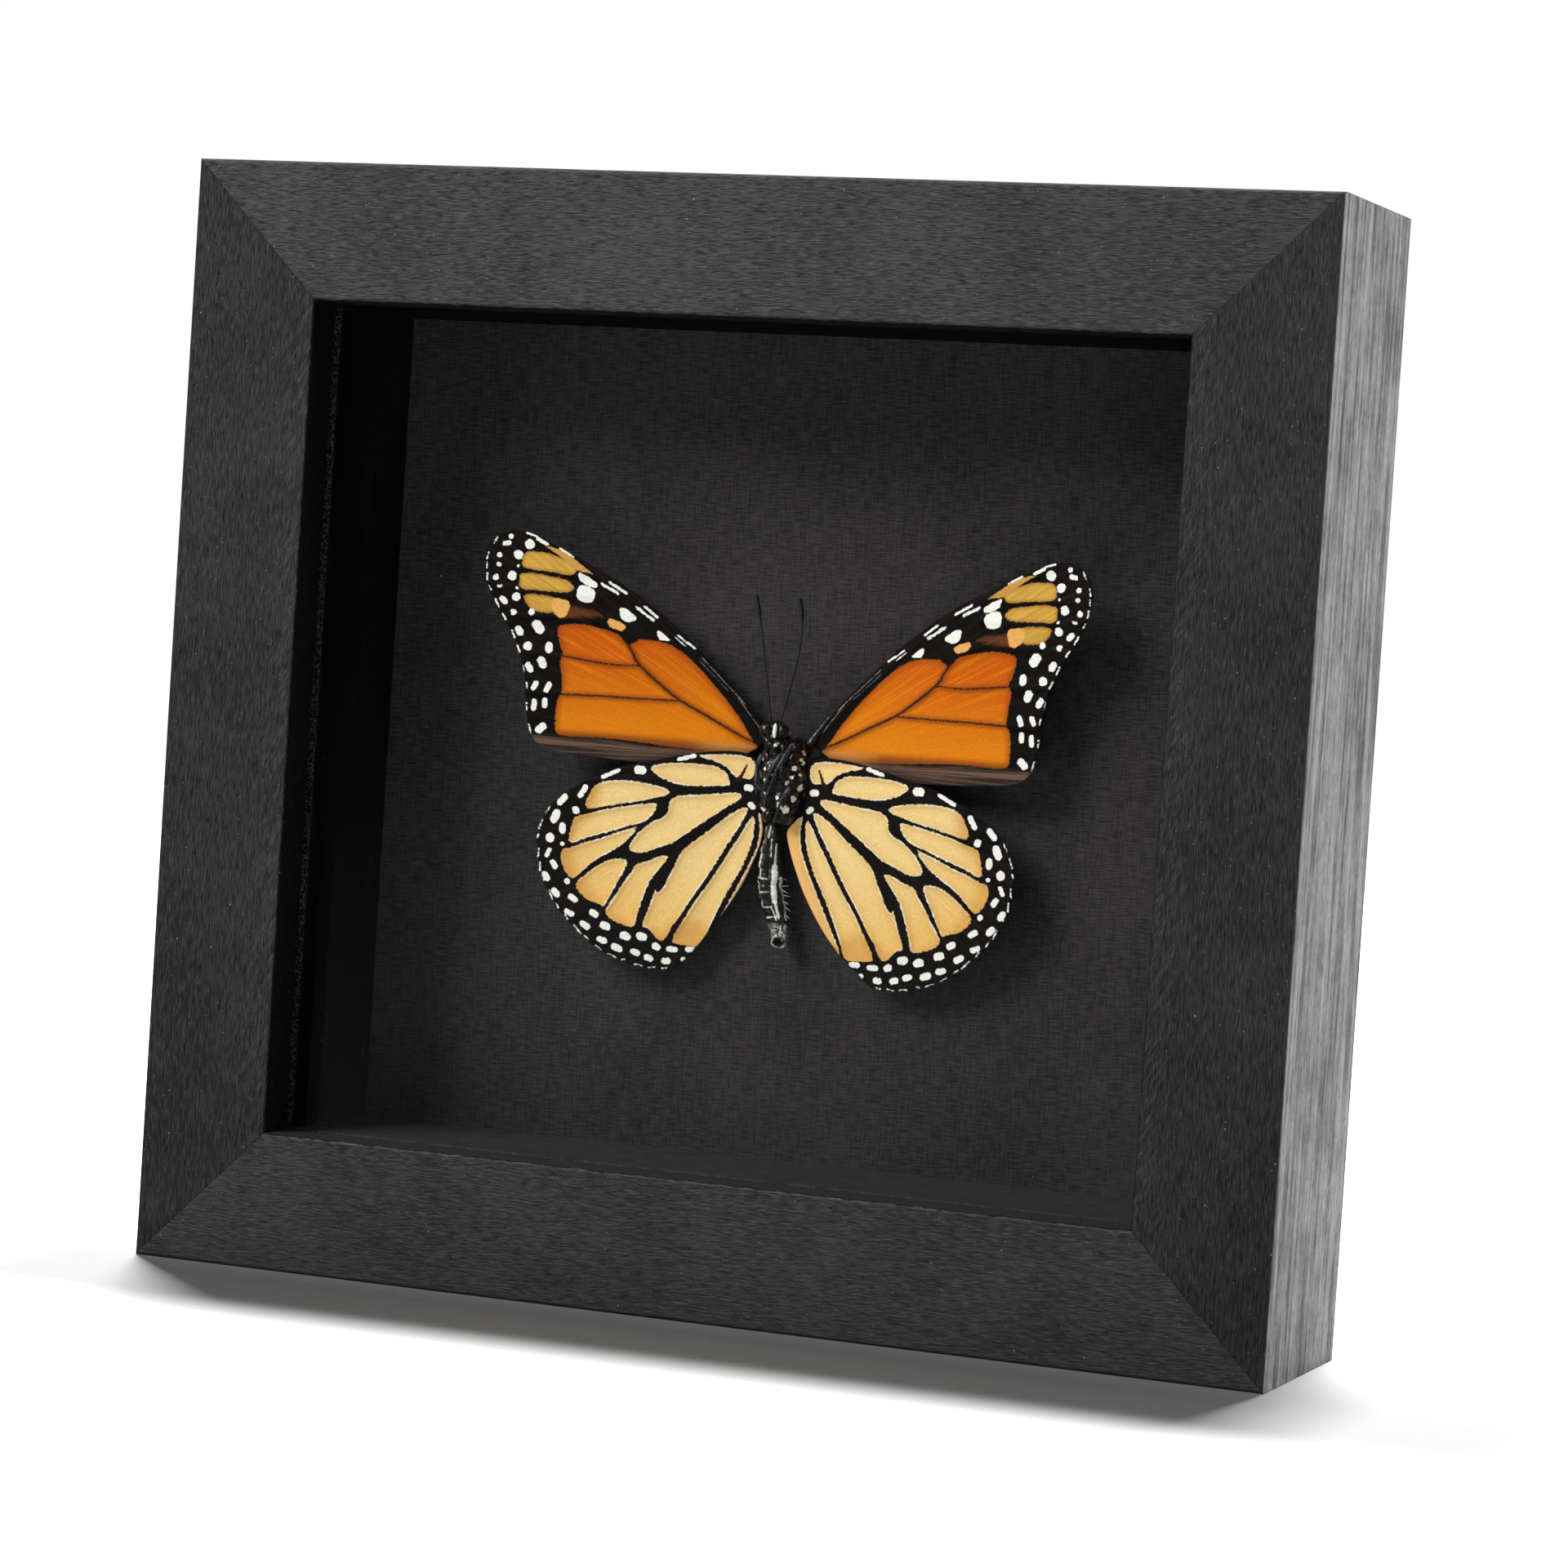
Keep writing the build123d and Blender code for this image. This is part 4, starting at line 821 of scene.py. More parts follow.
def run_along(outline):
    """Distance along an outline at each of its points, and the way to the middle of the wing from there."""
    along = np.concatenate([[0], np.cumsum(np.linalg.norm(np.diff(outline, axis=0), axis=1))])
    inward = HIND_MIDDLE - outline
    return along, inward / np.linalg.norm(inward, axis=1)[:, None]


def scalloped(outline, first, last, depth, fade=3.0):
    """The rim drawn in a little before each dash, and less over the fade at either end."""
    along, inward = run_along(outline)
    wave = np.cos(math.pi * (along - first) / HIND_DASH_PITCH) ** 6
    wave *= np.clip((along - first) / fade, 0, 1) * np.clip((last - along) / fade, 0, 1)
    return outline + inward * (depth * wave)[:, None]


def margin_dashes(outline, first, last, inset=0.15, gap=0.4, radius=0.12):
    """White dashes of uneven length just inside the rim, between two distances along it."""
    along, inward = run_along(outline)
    line = outline + inward * inset
    dashes = []
    for number, at in enumerate(np.arange(first, last, HIND_DASH_PITCH)):
        length = 1.15 + 0.45 * math.sin(2.3 * number)
        ends = [np.interp(at + shift, along, line[:, axis]) for shift in (gap, gap + length) for axis in (0, 1)]
        dashes.append((*ends, radius))
    return tuple(dashes)


hind_rim = scalloped(smooth_path(HIND_OUTER), *HIND_RIM_SPAN, SCALLOP_DEPTH)
hind_dashes = margin_dashes(hind_rim, *HIND_RIM_SPAN)
hind_marks = {
    "vein": lambda p: -nearest_of(p, HIND_CELLS, 5) - HIND_VEIN_INSET,
    "cell": lambda p: nearest_of(p, HIND_CELLS, 5),
    "rim": lambda p: distance_to_path(p, hind_rim[RIM_STARTS_AT:]),
    "white": lambda p: nearest_spot(p, HIND_SPOTS + hind_dashes),
    "stub": lambda p: distance_to_path(p, smooth_path(HIND_STUB), (0.14, 0.36)),
}
print(len(HIND_CELLS), "hindwing cells,", len(HIND_SPOTS), "spots and", len(hind_dashes), "dashes")

# %% [markdown]
# ## The colour of scales
# A wing is covered in overlapping scales a tenth of a millimetre long, so its colours are matte, grainy, and
# ragged where two meet. Each mark is thresholded with some noise that runs out along the wing, which frays
# its edge as scales do. The two materials share the same grain.

# %% The scales of both wings
BLACK_SCALES, SOOTY_SCALES = (0.0048, 0.0032, 0.0030), (0.013, 0.0085, 0.007)
WHITE_SCALES = (0.90, 0.87, 0.81)


class Scales(Finish):
    """A matte finish with the grain of scales, and shapes that fray along the wing."""

    def __init__(self, name):
        super().__init__(name, Roughness=0.66, Specular_IOR_Level=0.07)
        plan, rays = (self.node("UVMap", uv_map=chart) for chart in ("plan", "rays"))
        self.out, self.up = (self.math("MULTIPLY", self.node("SeparateXYZ", plan, out=axis), PLAN_UNIT)
                             for axis in "XY")
        self.fray = self.node("TexNoise", Vector=self.stretch(rays, 6.0, 60.0), Scale=1.0, Detail=3.0)
        self.streaks = self.node("TexNoise", Vector=self.stretch(rays, 1.6, 26.0), Scale=1.0, Detail=4.0)
        self.ragged = self.node("TexNoise", Vector=plan, Scale=PLAN_UNIT / 0.5, Detail=3.0, Roughness=0.6)
        self.grain = self.noise(self.place, 0.22, detail=2.0)
        self.black = self.mix(self.mask(self.streaks, 0.4, 0.7), BLACK_SCALES, SOOTY_SCALES)

    def shape(self, mark, edge=0.0, soft=0.05, fray=0.22, ragged=0.45):
        """One inside a mark whose distance is stored on the mesh."""
        shaken = self.math("ADD", self.math("MULTIPLY", self.math("SUBTRACT", self.fray, 0.5), fray * 2),
                           self.attribute(mark))
        shaken = self.math("MULTIPLY_ADD", self.math("SUBTRACT", self.ragged, 0.5), ragged, shaken)
        return self.below(shaken, edge, soft)

    def close(self, colour):
        """Grain over the finished colour, and the relief of the scales."""
        grained = self.mix(1.0, colour, self.mix(self.grain, (0.74, 0.74, 0.74), (1.26, 1.26, 1.26)), "MULTIPLY")
        self.set(Base_Color=grained)
        self.relief(self.math("ADD", self.grain, self.streaks), 0.035)


print("grain and fraying shared by both wings")

# %% [markdown]
# ## Colouring the forewing
# The colours go on as paint would, from the back of the picture to the front: black, then the dull band on
# the trailing edge, the orange field, its brown veins, the tan and pale cells at the tip, and the white spots
# last. The orange is brightest near the trailing edge and redder above. It dulls to brown beside a vein and
# at its own border, as it does where fewer scales are orange.

# %% Forewing scales
fore = Scales("forewing_scales")
depth = fore.mask(fore.math("ADD", fore.up, fore.math("MULTIPLY", fore.streaks, 6.0)), 2.0, 17.0)
orange = fore.mix(depth, (0.73, 0.200, 0.0040), (0.570, 0.098, 0.0022))
orange = fore.lay(orange, fore.mask(fore.streaks, 0.42, 0.78), (0.78, 0.240, 0.0065))
farther = fore.mask(fore.out, 9.0, 17.0)
dusk = fore.below(fore.math("ADD", fore.up, fore.math("MULTIPLY", fore.fray, 0.5)), 0.5, 0.75)
orange = fore.lay(orange, fore.math("MULTIPLY", dusk, fore.math("MULTIPLY", farther, 0.75)), (0.17, 0.040, 0.010))
root_glow = fore.math("MULTIPLY", dusk, fore.math("SUBTRACT", 1.0, farther))
orange = fore.lay(orange, root_glow, (0.82, 0.36, 0.11), 0.7)
beside_vein = fore.below(fore.attribute("thin_vein"), 0.42, 0.40)
at_border = fore.mask(fore.math("MULTIPLY_ADD", fore.fray, 0.8, fore.attribute("orange")), -0.9, 0.5)
orange = fore.lay(orange, fore.math("MAXIMUM", beside_vein, at_border), (0.20, 0.038, 0.005), 0.55)

low_edge = fore.below(fore.math("MULTIPLY_ADD", fore.streaks, 1.5, fore.up), -2.2, 1.8)
band = fore.mix(low_edge, (0.150, 0.086, 0.060), (0.052, 0.031, 0.027))
band = fore.lay(band, fore.mask(fore.streaks, 0.45, 0.62), (0.030, 0.018, 0.016))
band = fore.lay(band, fore.below(fore.out, 12.0, 5.0), (0.50, 0.25, 0.12))

tan_border = fore.mask(fore.math("MULTIPLY_ADD", fore.fray, 0.5, fore.attribute("tan")), -0.35, 0.35)
ochre = fore.mix(fore.mask(fore.streaks, 0.35, 0.7), (0.56, 0.300, 0.042), (0.72, 0.415, 0.082))
ochre = fore.lay(ochre, tan_border, (0.22, 0.085, 0.014), 0.6)

colour = fore.lay(fore.black, fore.shape("band", 0.0, 0.35, 0.5), band)
colour = fore.lay(colour, fore.shape("orange", 0.0, 0.09, 0.30), orange)
brown_vein = fore.math("MULTIPLY", fore.shape("thin_vein", 0.0, 0.07, 0.05), fore.shape("orange", 0.1, 0.1))
hairline = fore.math("MULTIPLY", fore.shape("hairline", 0.0, 0.05, 0.05, 0.25), fore.mask(fore.ragged, 0.38, 0.55))
for share, top, strength in (
        (brown_vein, (0.045, 0.014, 0.006), 0.95),
        (fore.shape("warm", -0.2, 0.5, 0.8), (0.17, 0.055, 0.012), 0.7),
        (fore.shape("tan"), ochre, 1.0),
        (fore.shape("costal", -0.14, 0.08), (0.62, 0.310, 0.075), 1.0),
        (fore.shape("pale", 0.0, 0.06, 0.1), (0.80, 0.40, 0.11), 1.0),
        (hairline, (0.42, 0.40, 0.36), 0.8),
        (fore.shape("white", -0.01, 0.05, 0.12, 0.45), WHITE_SCALES, 1.0)):
    colour = fore.lay(colour, share, top, strength)
fore.close(colour)
print("forewing finish of", len(fore.tree.nodes), "nodes")

# %% [markdown]
# ## Colouring the hindwing
# The buff is palest in the middle of the wing and warmer towards the body and the rim. A pale fringe of white
# scales lines each cell, but not along the rim, and the streaks that run out from the root break all of it up.

# %% Hindwing scales
hind = Scales("hindwing_scales")
outward = hind.mask(hind.math("SUBTRACT", hind.math("MULTIPLY", hind.out, 0.55), hind.up), 22.0, 44.0)
bodyward = hind.below(hind.math("SUBTRACT", hind.out, hind.math("MULTIPLY", hind.up, -0.34)), -0.6, 1.6)
shaded = hind.mask(hind.math("MULTIPLY_ADD", hind.streaks, 1.6, hind.attribute("cell")), -0.8, 1.0)
rimward = hind.below(hind.math("MULTIPLY_ADD", hind.streaks, -2.6, hind.attribute("rim")), 4.2, 1.2)
fringe = hind.math("MULTIPLY", hind.math("SUBTRACT", 1.0, hind.shape("cell", -0.26, 0.07, 0.25, 0.7)),
                   hind.mask(hind.streaks, 0.40, 0.56))
fringe = hind.math("MULTIPLY", fringe, hind.math("SUBTRACT", 1.0, rimward))
buff = hind.mix(outward, (0.87, 0.608, 0.250), (0.85, 0.470, 0.118))
for share, top, strength in (
        (bodyward, (0.84, 0.40, 0.115), 0.8),
        (hind.mask(hind.streaks, 0.4, 0.8), (0.90, 0.655, 0.310), 0.5),
        (shaded, (0.66, 0.365, 0.100), 0.45),
        (rimward, (0.60, 0.275, 0.052), 0.55),
        (fringe, (0.88, 0.82, 0.70), 0.85)):
    buff = hind.lay(buff, share, top, strength)
colour = hind.lay(hind.black, hind.shape("cell", -0.04, 0.05, 0.16, 0.7), buff)
colour = hind.lay(colour, hind.shape("stub", 0.0, 0.08, 0.1), (0.030, 0.012, 0.007))
colour = hind.lay(colour, hind.shape("white", 0.0, 0.05, 0.12, 0.45), WHITE_SCALES)
hind.close(colour)
print("hindwing finish of", len(hind.tree.nodes), "nodes")

# %% [markdown]
# ## Four wings
# Left and right wings share their marks and the forewing its outline, but each pair is set at its own tilt and
# each wing has its own seed for its waves, so that no wing is a mirror image of the other.

# %% Cut and place the four wings
WING_SEEDS = {"left": (0.0, 11.0), "right": (3.7, 14.7)}  # forewing, hindwing
for side, (fore_seed, hind_seed) in WING_SEEDS.items():
    finish_wing(wing_sheet(smooth_path(FORE_OUTLINE)), "set_forewing_" + side, fore,
                "forewing_" + side, wing_matrix(side, FORE_ROOT_Y, FORE_LIFT[side], FORE_PITCH), fore_marks, fore_seed)
    edge = np.vstack([hind_rim, smooth_path(HIND_INNER[side])[1:-1]])
    finish_wing(wing_sheet(edge), "set_hindwing_" + side, hind,
                "hindwing_" + side, wing_matrix(side, HIND_ROOT_Y, HIND_LIFT, HIND_PITCH), hind_marks, hind_seed)

# %% [markdown]
# ## Tools for the body
# The body needs three kinds of form. A grid whose two sides are brought together makes a closed skin, for
# the thorax and the abdomen, and along a path it makes a leg or an antenna. A lumpy ball makes an eye or the
# base of a leg. A tapered cone of four sides makes a hair, which is too fine to need more.

# %% Skins, tubes, lumps and hairs
def roll(bm, rings, sides, place):
    """A grid rolled into a closed skin: place(along, turn) gives each point, and turn nought faces the viewer."""
    verts = bmesh.ops.create_grid(bm, x_segments=sides, y_segments=rings, size=0.5)["verts"]
    for vert in verts:
        vert.co = place(vert.co.y + 0.5, vert.co.x * math.tau)
    bmesh.ops.remove_doubles(bm, verts=verts, dist=1e-4)


def closing(along, share):
    """Rounds off both ends of a rolled skin, each over a share of its length."""
    return min(1.0, along / share, (1 - along) / share) ** 0.5


def tube(bm, path, radius, rings, sides, round_share):
    """A closed tube along a path, with a radius that is a function of the share of its length."""
    path = np.array(path, float)
    lengths = np.concatenate([[0], np.cumsum(np.linalg.norm(np.diff(path, axis=0), axis=1))])

    def point(at):
        """A point of the path."""
        return Vector([np.interp(at * lengths[-1], lengths, path[:, axis]) for axis in range(3)])

    def place(along, turn):
        """A point of the skin, square to the path there."""
        run = point(min(along + 0.01, 1.0)) - point(max(along - 0.01, 0.0))
        across = Vector((0, 1, 0)).cross(run).normalized()
        out = across.cross(run).normalized()
        reach = radius(along) * closing(along, round_share)
        return point(along) + (across * math.sin(turn) + out * math.cos(turn)) * reach

    roll(bm, rings, sides, place)


def lump(bm, centre, radii, rotation=Matrix.Identity(4), rough=0.0, seed=0.0, detail=3):
    """An uneven ball, stretched and turned."""
    ball = bmesh.ops.create_icosphere(bm, subdivisions=detail, radius=1.0)["verts"]
    for vert in ball:
        vert.co *= 1 + rough * noise.noise(vert.co * 1.4 + Vector((seed, seed * 2, 0)))
    shape = Matrix.Translation(centre) @ rotation @ Matrix.Diagonal((*radii, 1))
    bmesh.ops.transform(bm, verts=ball, matrix=shape)


def hair(bm, start, run, root=0.03):
    """One stiff hair."""
    turned = run.to_track_quat("Z", "Y").to_matrix().to_4x4()
    bmesh.ops.create_cone(bm, cap_ends=True, segments=4, radius1=root, radius2=root * 0.2, depth=run.length,
                          matrix=Matrix.Translation(start + run / 2) @ turned)


def stand(bm, name, finish, stands_for, marks=None):
    """Turn what was drawn in millimetres into a piece."""
    bmesh.ops.recalc_face_normals(bm, faces=bm.faces)
    places = np.array([vert.co for vert in bm.verts])
    bmesh.ops.scale(bm, vec=(MM, MM, MM), verts=bm.verts)
    mesh = bpy.data.meshes.new(name)
    bm.to_mesh(mesh)
    bm.free()
    store(mesh, marks or {}, places)
    add_piece(name, mesh, finish, stands_for)


print("four ways to draw a part of the body")

# %% [markdown]
# ## Chitin
# The body is horny black chitin with a soft gloss, spotted with white tufts of scales. One recipe with other
# tones and another gloss makes the skin of the body, the legs, the feelers and the eyes. The tufts are marks,
# as on the wings, and the eyes get a fine pattern of cells as relief.

# %% Finishes of the body
def chitin(name, low, high, gloss):
    """Glossy dark skin that is a little uneven."""
    skin = Finish(name, Specular_IOR_Level=0.62)
    pits = skin.noise(skin.place, 0.35, detail=4.0)
    skin.tone = skin.mix(skin.mask(pits, 0.35, 0.7), low, high)
    skin.set(Base_Color=skin.tone, Roughness=skin.node("MapRange", pits, 0.3, 0.7, gloss, gloss + 0.25))
    skin.relief(pits, 0.06)
    return skin


dark = chitin("dark_chitin", (0.0035, 0.003, 0.003), (0.011, 0.009, 0.008), 0.18)
tuft = dark.below(dark.math("MULTIPLY_ADD", dark.noise(dark.place, 0.30), 0.6, dark.attribute("white")), 0.36, 0.04)
dark.set(Base_Color=dark.mix(tuft, dark.tone, (0.95, 0.92, 0.83)))
leg_skin = chitin("leg_chitin", (0.010, 0.011, 0.019), (0.040, 0.043, 0.066), 0.34)
feeler = chitin("feeler", (0.002, 0.002, 0.002), (0.006, 0.005, 0.005), 0.55)
eye_skin = chitin("eye", (0.006, 0.005, 0.005), (0.022, 0.014, 0.010), 0.16)
FACET = 0.12
facets = eye_skin.node("TexVoronoi", Vector=eye_skin.place, Scale=1 / (FACET * MM))
eye_skin.relief(facets, 0.015)
print("skins of the body, legs, feelers and eyes, whose facets are", FACET, "mm")

# %% [markdown]
# ## Thorax
# The thorax is three short rings grown together, with a groove between every two and a furrow down the front.
# Lumps on both sides are the bases of the legs, and a thick root carries each forewing. It could be sculpted,
# but a rolled skin whose radius is a function keeps the grooves where they are wanted. The white tufts are
# measured on the skin laid flat: millimetres round it and millimetres up.

# %% Thorax with the bases of its legs
THORAX = Vector((0.3, 10.5, 77.7))
THORAX_HALF, THORAX_ARC, THORAX_RADIUS = 6.35, 10.5, 3.6
THORAX_GROOVES = (3.3, -2.0)      # between its three rings, from its centre
THORAX_UNROLL = 3.3               # radius at which its skin is laid flat
TUFT_SPREAD = 1.12
THORAX_HAIRS = 260
THORAX_SIDES = (                  # lumps: degrees round, up, half width, half depth, half length, tilt
    (17, 4.6, 0.60, 0.60, 1.25, -14), (20, 1.2, 0.85, 0.70, 1.70, -16), (19, -2.7, 0.80, 0.70, 1.50, -12),
    (50, 3.4, 1.00, 0.55, 1.30, 22), (57, 0.2, 1.15, 0.60, 1.50, 10), (47, -3.4, 0.90, 0.55, 1.15, -18),
    (84, 3.6, 1.00, 0.70, 1.20, 8), (88, 0.0, 1.00, 0.65, 1.60, 0), (66, 5.2, 1.15, 1.00, 1.10, 30),
    (28, 6.0, 0.95, 0.80, 0.90, 10), (100, 5.2, 1.20, 1.30, 1.50, 30), (40, -5.2, 1.20, 1.00, 1.30, -30))
WING_BASES = {                    # the thick black roots of the leading edges
    "left": ((-2.2, 12.0, 81.5), (-3.6, 12.6, 83.8), (-5.6, 12.7, 86.0)),
    "right": ((2.6, 12.0, 81.5), (4.2, 12.5, 84.6), (6.6, 12.5, 88.0)),
}
THORAX_TUFTS = (                  # degrees round, up and radius
    (-12, 5.6, 0.34), (42, 5.3, 0.26), (36, 5.0, 0.18), (84, 4.4, 0.32), (81, 2.9, 0.26), (49, 2.1, 0.32),
    (62, 1.2, 0.20), (-28, 1.8, 0.26), (-23, 0.1, 0.26), (31, -0.1, 0.24), (66, -0.7, 0.46), (-29, -1.9, 0.24),
    (7, -2.4, 0.26), (52, -2.4, 0.40), (13, -3.6, 0.34), (32, -4.1, 0.46), (-60, -3.1, 0.24), (-42, -4.3, 0.28),
    (-72, 2.7, 0.26), (-80, 0.4, 0.34), (100, 1.2, 0.30), (-8, 0.9, 0.16), (70, 3.4, 0.18), (-48, 3.2, 0.18),
    (40, 0.8, 0.18), (96, -1.8, 0.26))


def thorax_reach(up):
    """Radius of the thorax, whose side is one arc."""
    return THORAX_RADIUS - THORAX_ARC + math.sqrt(THORAX_ARC ** 2 - up ** 2)


def on_thorax(turn, up, lift=0.0):
    """A point over the thorax: degrees round from the viewer, up from its centre, and off its skin."""
    angle = math.radians(turn)
    reach = thorax_reach(up) + lift
    return THORAX + Vector((reach * math.sin(angle), -reach * math.cos(angle), up))


def thorax_skin(along, turn):
    """A point of the skin: grooves, the furrow in front, and some unevenness."""
    up = -THORAX_HALF * math.cos(math.pi * along)
    reach = thorax_reach(up)
    for groove in THORAX_GROOVES:
        reach -= 0.28 * math.exp(-((up - groove) / 0.3) ** 2)
    reach -= 0.40 * math.exp(-(turn / 0.16) ** 2)
    flat = Vector((math.sin(turn), -math.cos(turn), 0))
    point = THORAX + flat * reach + Vector((0, 0, up))
    reach += 0.45 * noise.noise(point / 1.7) + 0.12 * noise.noise(point / 0.5)
    return THORAX + flat * reach * closing(along, 0.16) + Vector((0, 0, up))


def unrolled(places):
    """The body's skin laid flat: millimetres round and millimetres up."""
    turn = np.arctan2(places[:, 0] - THORAX.x, THORAX.y - places[:, 1])
    return np.column_stack([turn * THORAX_UNROLL, places[:, 2] - THORAX.z])


thorax_tufts = [(math.radians(turn) * THORAX_UNROLL, up, radius * TUFT_SPREAD) for turn, up, radius in THORAX_TUFTS]
random = np.random.default_rng(7)
bm = bmesh.new()
roll(bm, 90, 96, thorax_skin)
for side in (-1, 1):
    for number, (turn, up, wide, deep, tall, tilt) in enumerate(THORAX_SIDES):
        turned = Matrix.Rotation(math.radians(turn * side), 4, "Z") @ Matrix.Rotation(math.radians(tilt * side), 4, "Y")
        lump(bm, on_thorax(turn * side, up, -0.15), (wide, deep, tall), turned, 0.16, number + 0.5 * side)
for side, route in WING_BASES.items():
    tube(bm, smooth_path(route), lambda along: 1.0 - 0.72 * along, 30, 16, 0.1)
for _ in range(THORAX_HAIRS):
    turn, up = random.uniform(-115, 115), random.uniform(-5.4, 5.8)
    root = on_thorax(turn, up, -0.1)
    out = (root - THORAX) * Vector((1, 1, 0))
    lean = Vector(random.uniform(-0.5, 0.5, 3)) + Vector((0, 0, -0.5))
    hair(bm, root, (out.normalized() + lean).normalized() * random.uniform(0.5, 1.2))
stand(bm, "set_thorax", dark, "thorax",
      {"white": lambda p: nearest_spot(unrolled(p), thorax_tufts)})

# %% [markdown]
# ## Head
# The head is a small ball between two large round eyes. Two palps stand up in front of it, one with a white
# streak, and the tongue is coiled between them like a watch spring. It is a chain of short cones that overlap,
# since a coil of a millimetre shows no more. Stiff hairs cover the side that the palps leave free.

# %% Head, palps and coiled tongue
HEAD = Vector((-0.7, 8.5, 85.1))
TONGUE_RADIUS, TONGUE_TURNS = 0.55, 2.1
PALP_STREAK = ((0.42, -1.75, -0.75), (0.62, -1.75, 1.05))     # on one palp, from the head's centre
PALP_STREAK_HALF = 0.33
HEAD_HAIRS = 110
bm = bmesh.new()
lump(bm, HEAD, (1.60, 1.50, 1.60), rough=0.12, seed=3.0, detail=4)
for side in (-1, 1):
    palp = [HEAD + Vector((side * out, near, up)) for out, near, up in
            ((0.45, -1.05, -1.0), (0.50, -1.60, -0.2), (0.62, -1.70, 0.7), (0.60, -1.55, 1.3))]
    tube(bm, palp, lambda along: 0.40 - 0.16 * along, 16, 12, 0.15)
    lump(bm, HEAD + Vector((side * 0.75, -0.1, 1.25)), (0.28, 0.28, 0.28))
turns = np.linspace(0, TONGUE_TURNS * math.tau, 60).tolist()
coil = [HEAD + Vector((0, -1.55, -1.0)) + Vector((0.08 * angle / math.tau, -0.7 * math.cos(angle), math.sin(angle)))
        * (TONGUE_RADIUS - 0.035 * angle) for angle in turns]
for start, end in zip(coil, coil[1:]):
    hair(bm, start, (end - start) * 1.1, 0.09)
for _ in range(HEAD_HAIRS):
    away = Vector(random.normal(size=3)).normalized()
    if away.y < 0.5:
        hair(bm, HEAD + away * 1.5, (away + Vector((0, 0, 0.5))).normalized() * random.uniform(0.3, 0.8))
streak = np.array(PALP_STREAK) + np.array(HEAD)
stand(bm, "set_head", dark, "head",
      {"white": lambda p: distance_to_path(p, streak) - PALP_STREAK_HALF})
bm = bmesh.new()
for side in (-1, 1):
    lump(bm, HEAD + Vector((side * 1.30, -0.35, 0.10)), (1.02, 1.05, 1.18), detail=4)
stand(bm, "set_eyes", eye_skin, "compound_eyes")

# %% [markdown]
# ## Legs
# The legs have dried folded against the front of the thorax. Each is a thick thigh, a thinner shin with two
# rows of spines, and a foot of short joints. Their hips, knees and ankles are given on the skin of the thorax,
# a little way off it, so that the legs follow its curve and don't sink in.

# %% Folded legs
LEG_LIFT = 0.59                   # off the skin of the thorax
LEG_FOLDS = (                     # each joint: degrees round the thorax from its front, and up from its centre
    ((48, 5.7), (5, 1.6), (-16, -2.4)),
    ((12, 4.2), (-8, 1.4), (-22, -1.0)),
    ((-59, 4.0), (-62, 1.6), (-54, -0.6)),
    ((38, -0.6), (21, -2.6), (9, -4.6)),
)
bm = bmesh.new()
for number, fold in enumerate(LEG_FOLDS):
    hip, knee, ankle = (on_thorax(turn, up, LEG_LIFT) for turn, up in fold)
    thigh = smooth_path([hip, hip.lerp(knee, 0.5) + Vector((0, -0.15, 0)), knee], steps=6)
    tube(bm, thigh, lambda along: 0.30 + 0.12 * math.sin(math.pi * along), 24, 14, 0.10)
    shin = smooth_path([knee, knee.lerp(ankle, 0.5), ankle], steps=6)
    tube(bm, shin, lambda along: 0.25 - 0.06 * along, 20, 12, 0.08)
    lump(bm, knee, (0.30, 0.30, 0.30), rough=0.1, seed=number)
    step = (ankle - knee).normalized() * 0.42 + Vector((0.04, 0.05, 0))
    for joint in range(4):
        start = ankle + step * joint
        tube(bm, [start, start + step * 0.5, start + step], lambda along: 0.15 + 0.04 * along, 6, 8, 0.2)
    for share in np.linspace(0.1, 0.95, 9):
        for side in (-1, 1):
            out = (ankle - knee).cross(Vector((0, 1, 0))).normalized() * side
            hair(bm, knee.lerp(ankle, share) + out * 0.15,
                 (out + (ankle - knee).normalized() * 0.8 + Vector((0, -0.3, 0))) * 0.30, 0.035)
stand(bm, "set_legs", leg_skin, "legs")

# %% [markdown]
# ## Antennae
# Each antenna is a thread of fine rings that thickens into a club. A tube along a few points makes it, with
# the club and the rings in the function that gives its radius.

# %% The antennae
ANTENNA_ROOT = (0.7, 1.19)        # out and up from the head's centre
ANTENNA_RISE = 20.2
ANTENNA_ROUTES = {                # how far out at a quarter, half, three quarters and the end of the rise
    "left": (-1, (1.55, 2.45, 3.35, 4.5)),
    "right": (1, (1.75, 2.75, 3.25, 2.5)),
}


def antenna_radius(along):
    """A thread, and from four fifths of its length a ringed club."""
    club = min(max((along - 0.80) / 0.06, 0.0), 1.0)
    return 0.13 + 0.03 * along + 0.21 * club * (1 + 0.05 * math.sin(500 * along))


for name, (side, outs) in ANTENNA_ROUTES.items():
    heights = [ANTENNA_ROOT[1] + share * (ANTENNA_RISE - ANTENNA_ROOT[1]) for share in (0, 0.25, 0.5, 0.76, 1)]
    route = smooth_path([HEAD + Vector((side * out, 0, up)) for out, up in zip((ANTENNA_ROOT[0], *outs), heights)])
    bm = bmesh.new()
    tube(bm, route, antenna_radius, 150, 10, 0.012)
    stand(bm, "set_antenna_" + name, feeler, "antenna_" + name)

# %% [markdown]
# ## Abdomen
# The abdomen has dried thin: its rings have sunk between their edges, a fold runs down its middle, and its open
# end has curled towards the viewer. It is one rolled skin whose last rings turn back inside, so the hollow at
# its end is part of the same surface. A curve gives the middle of each ring, and a function its radius.

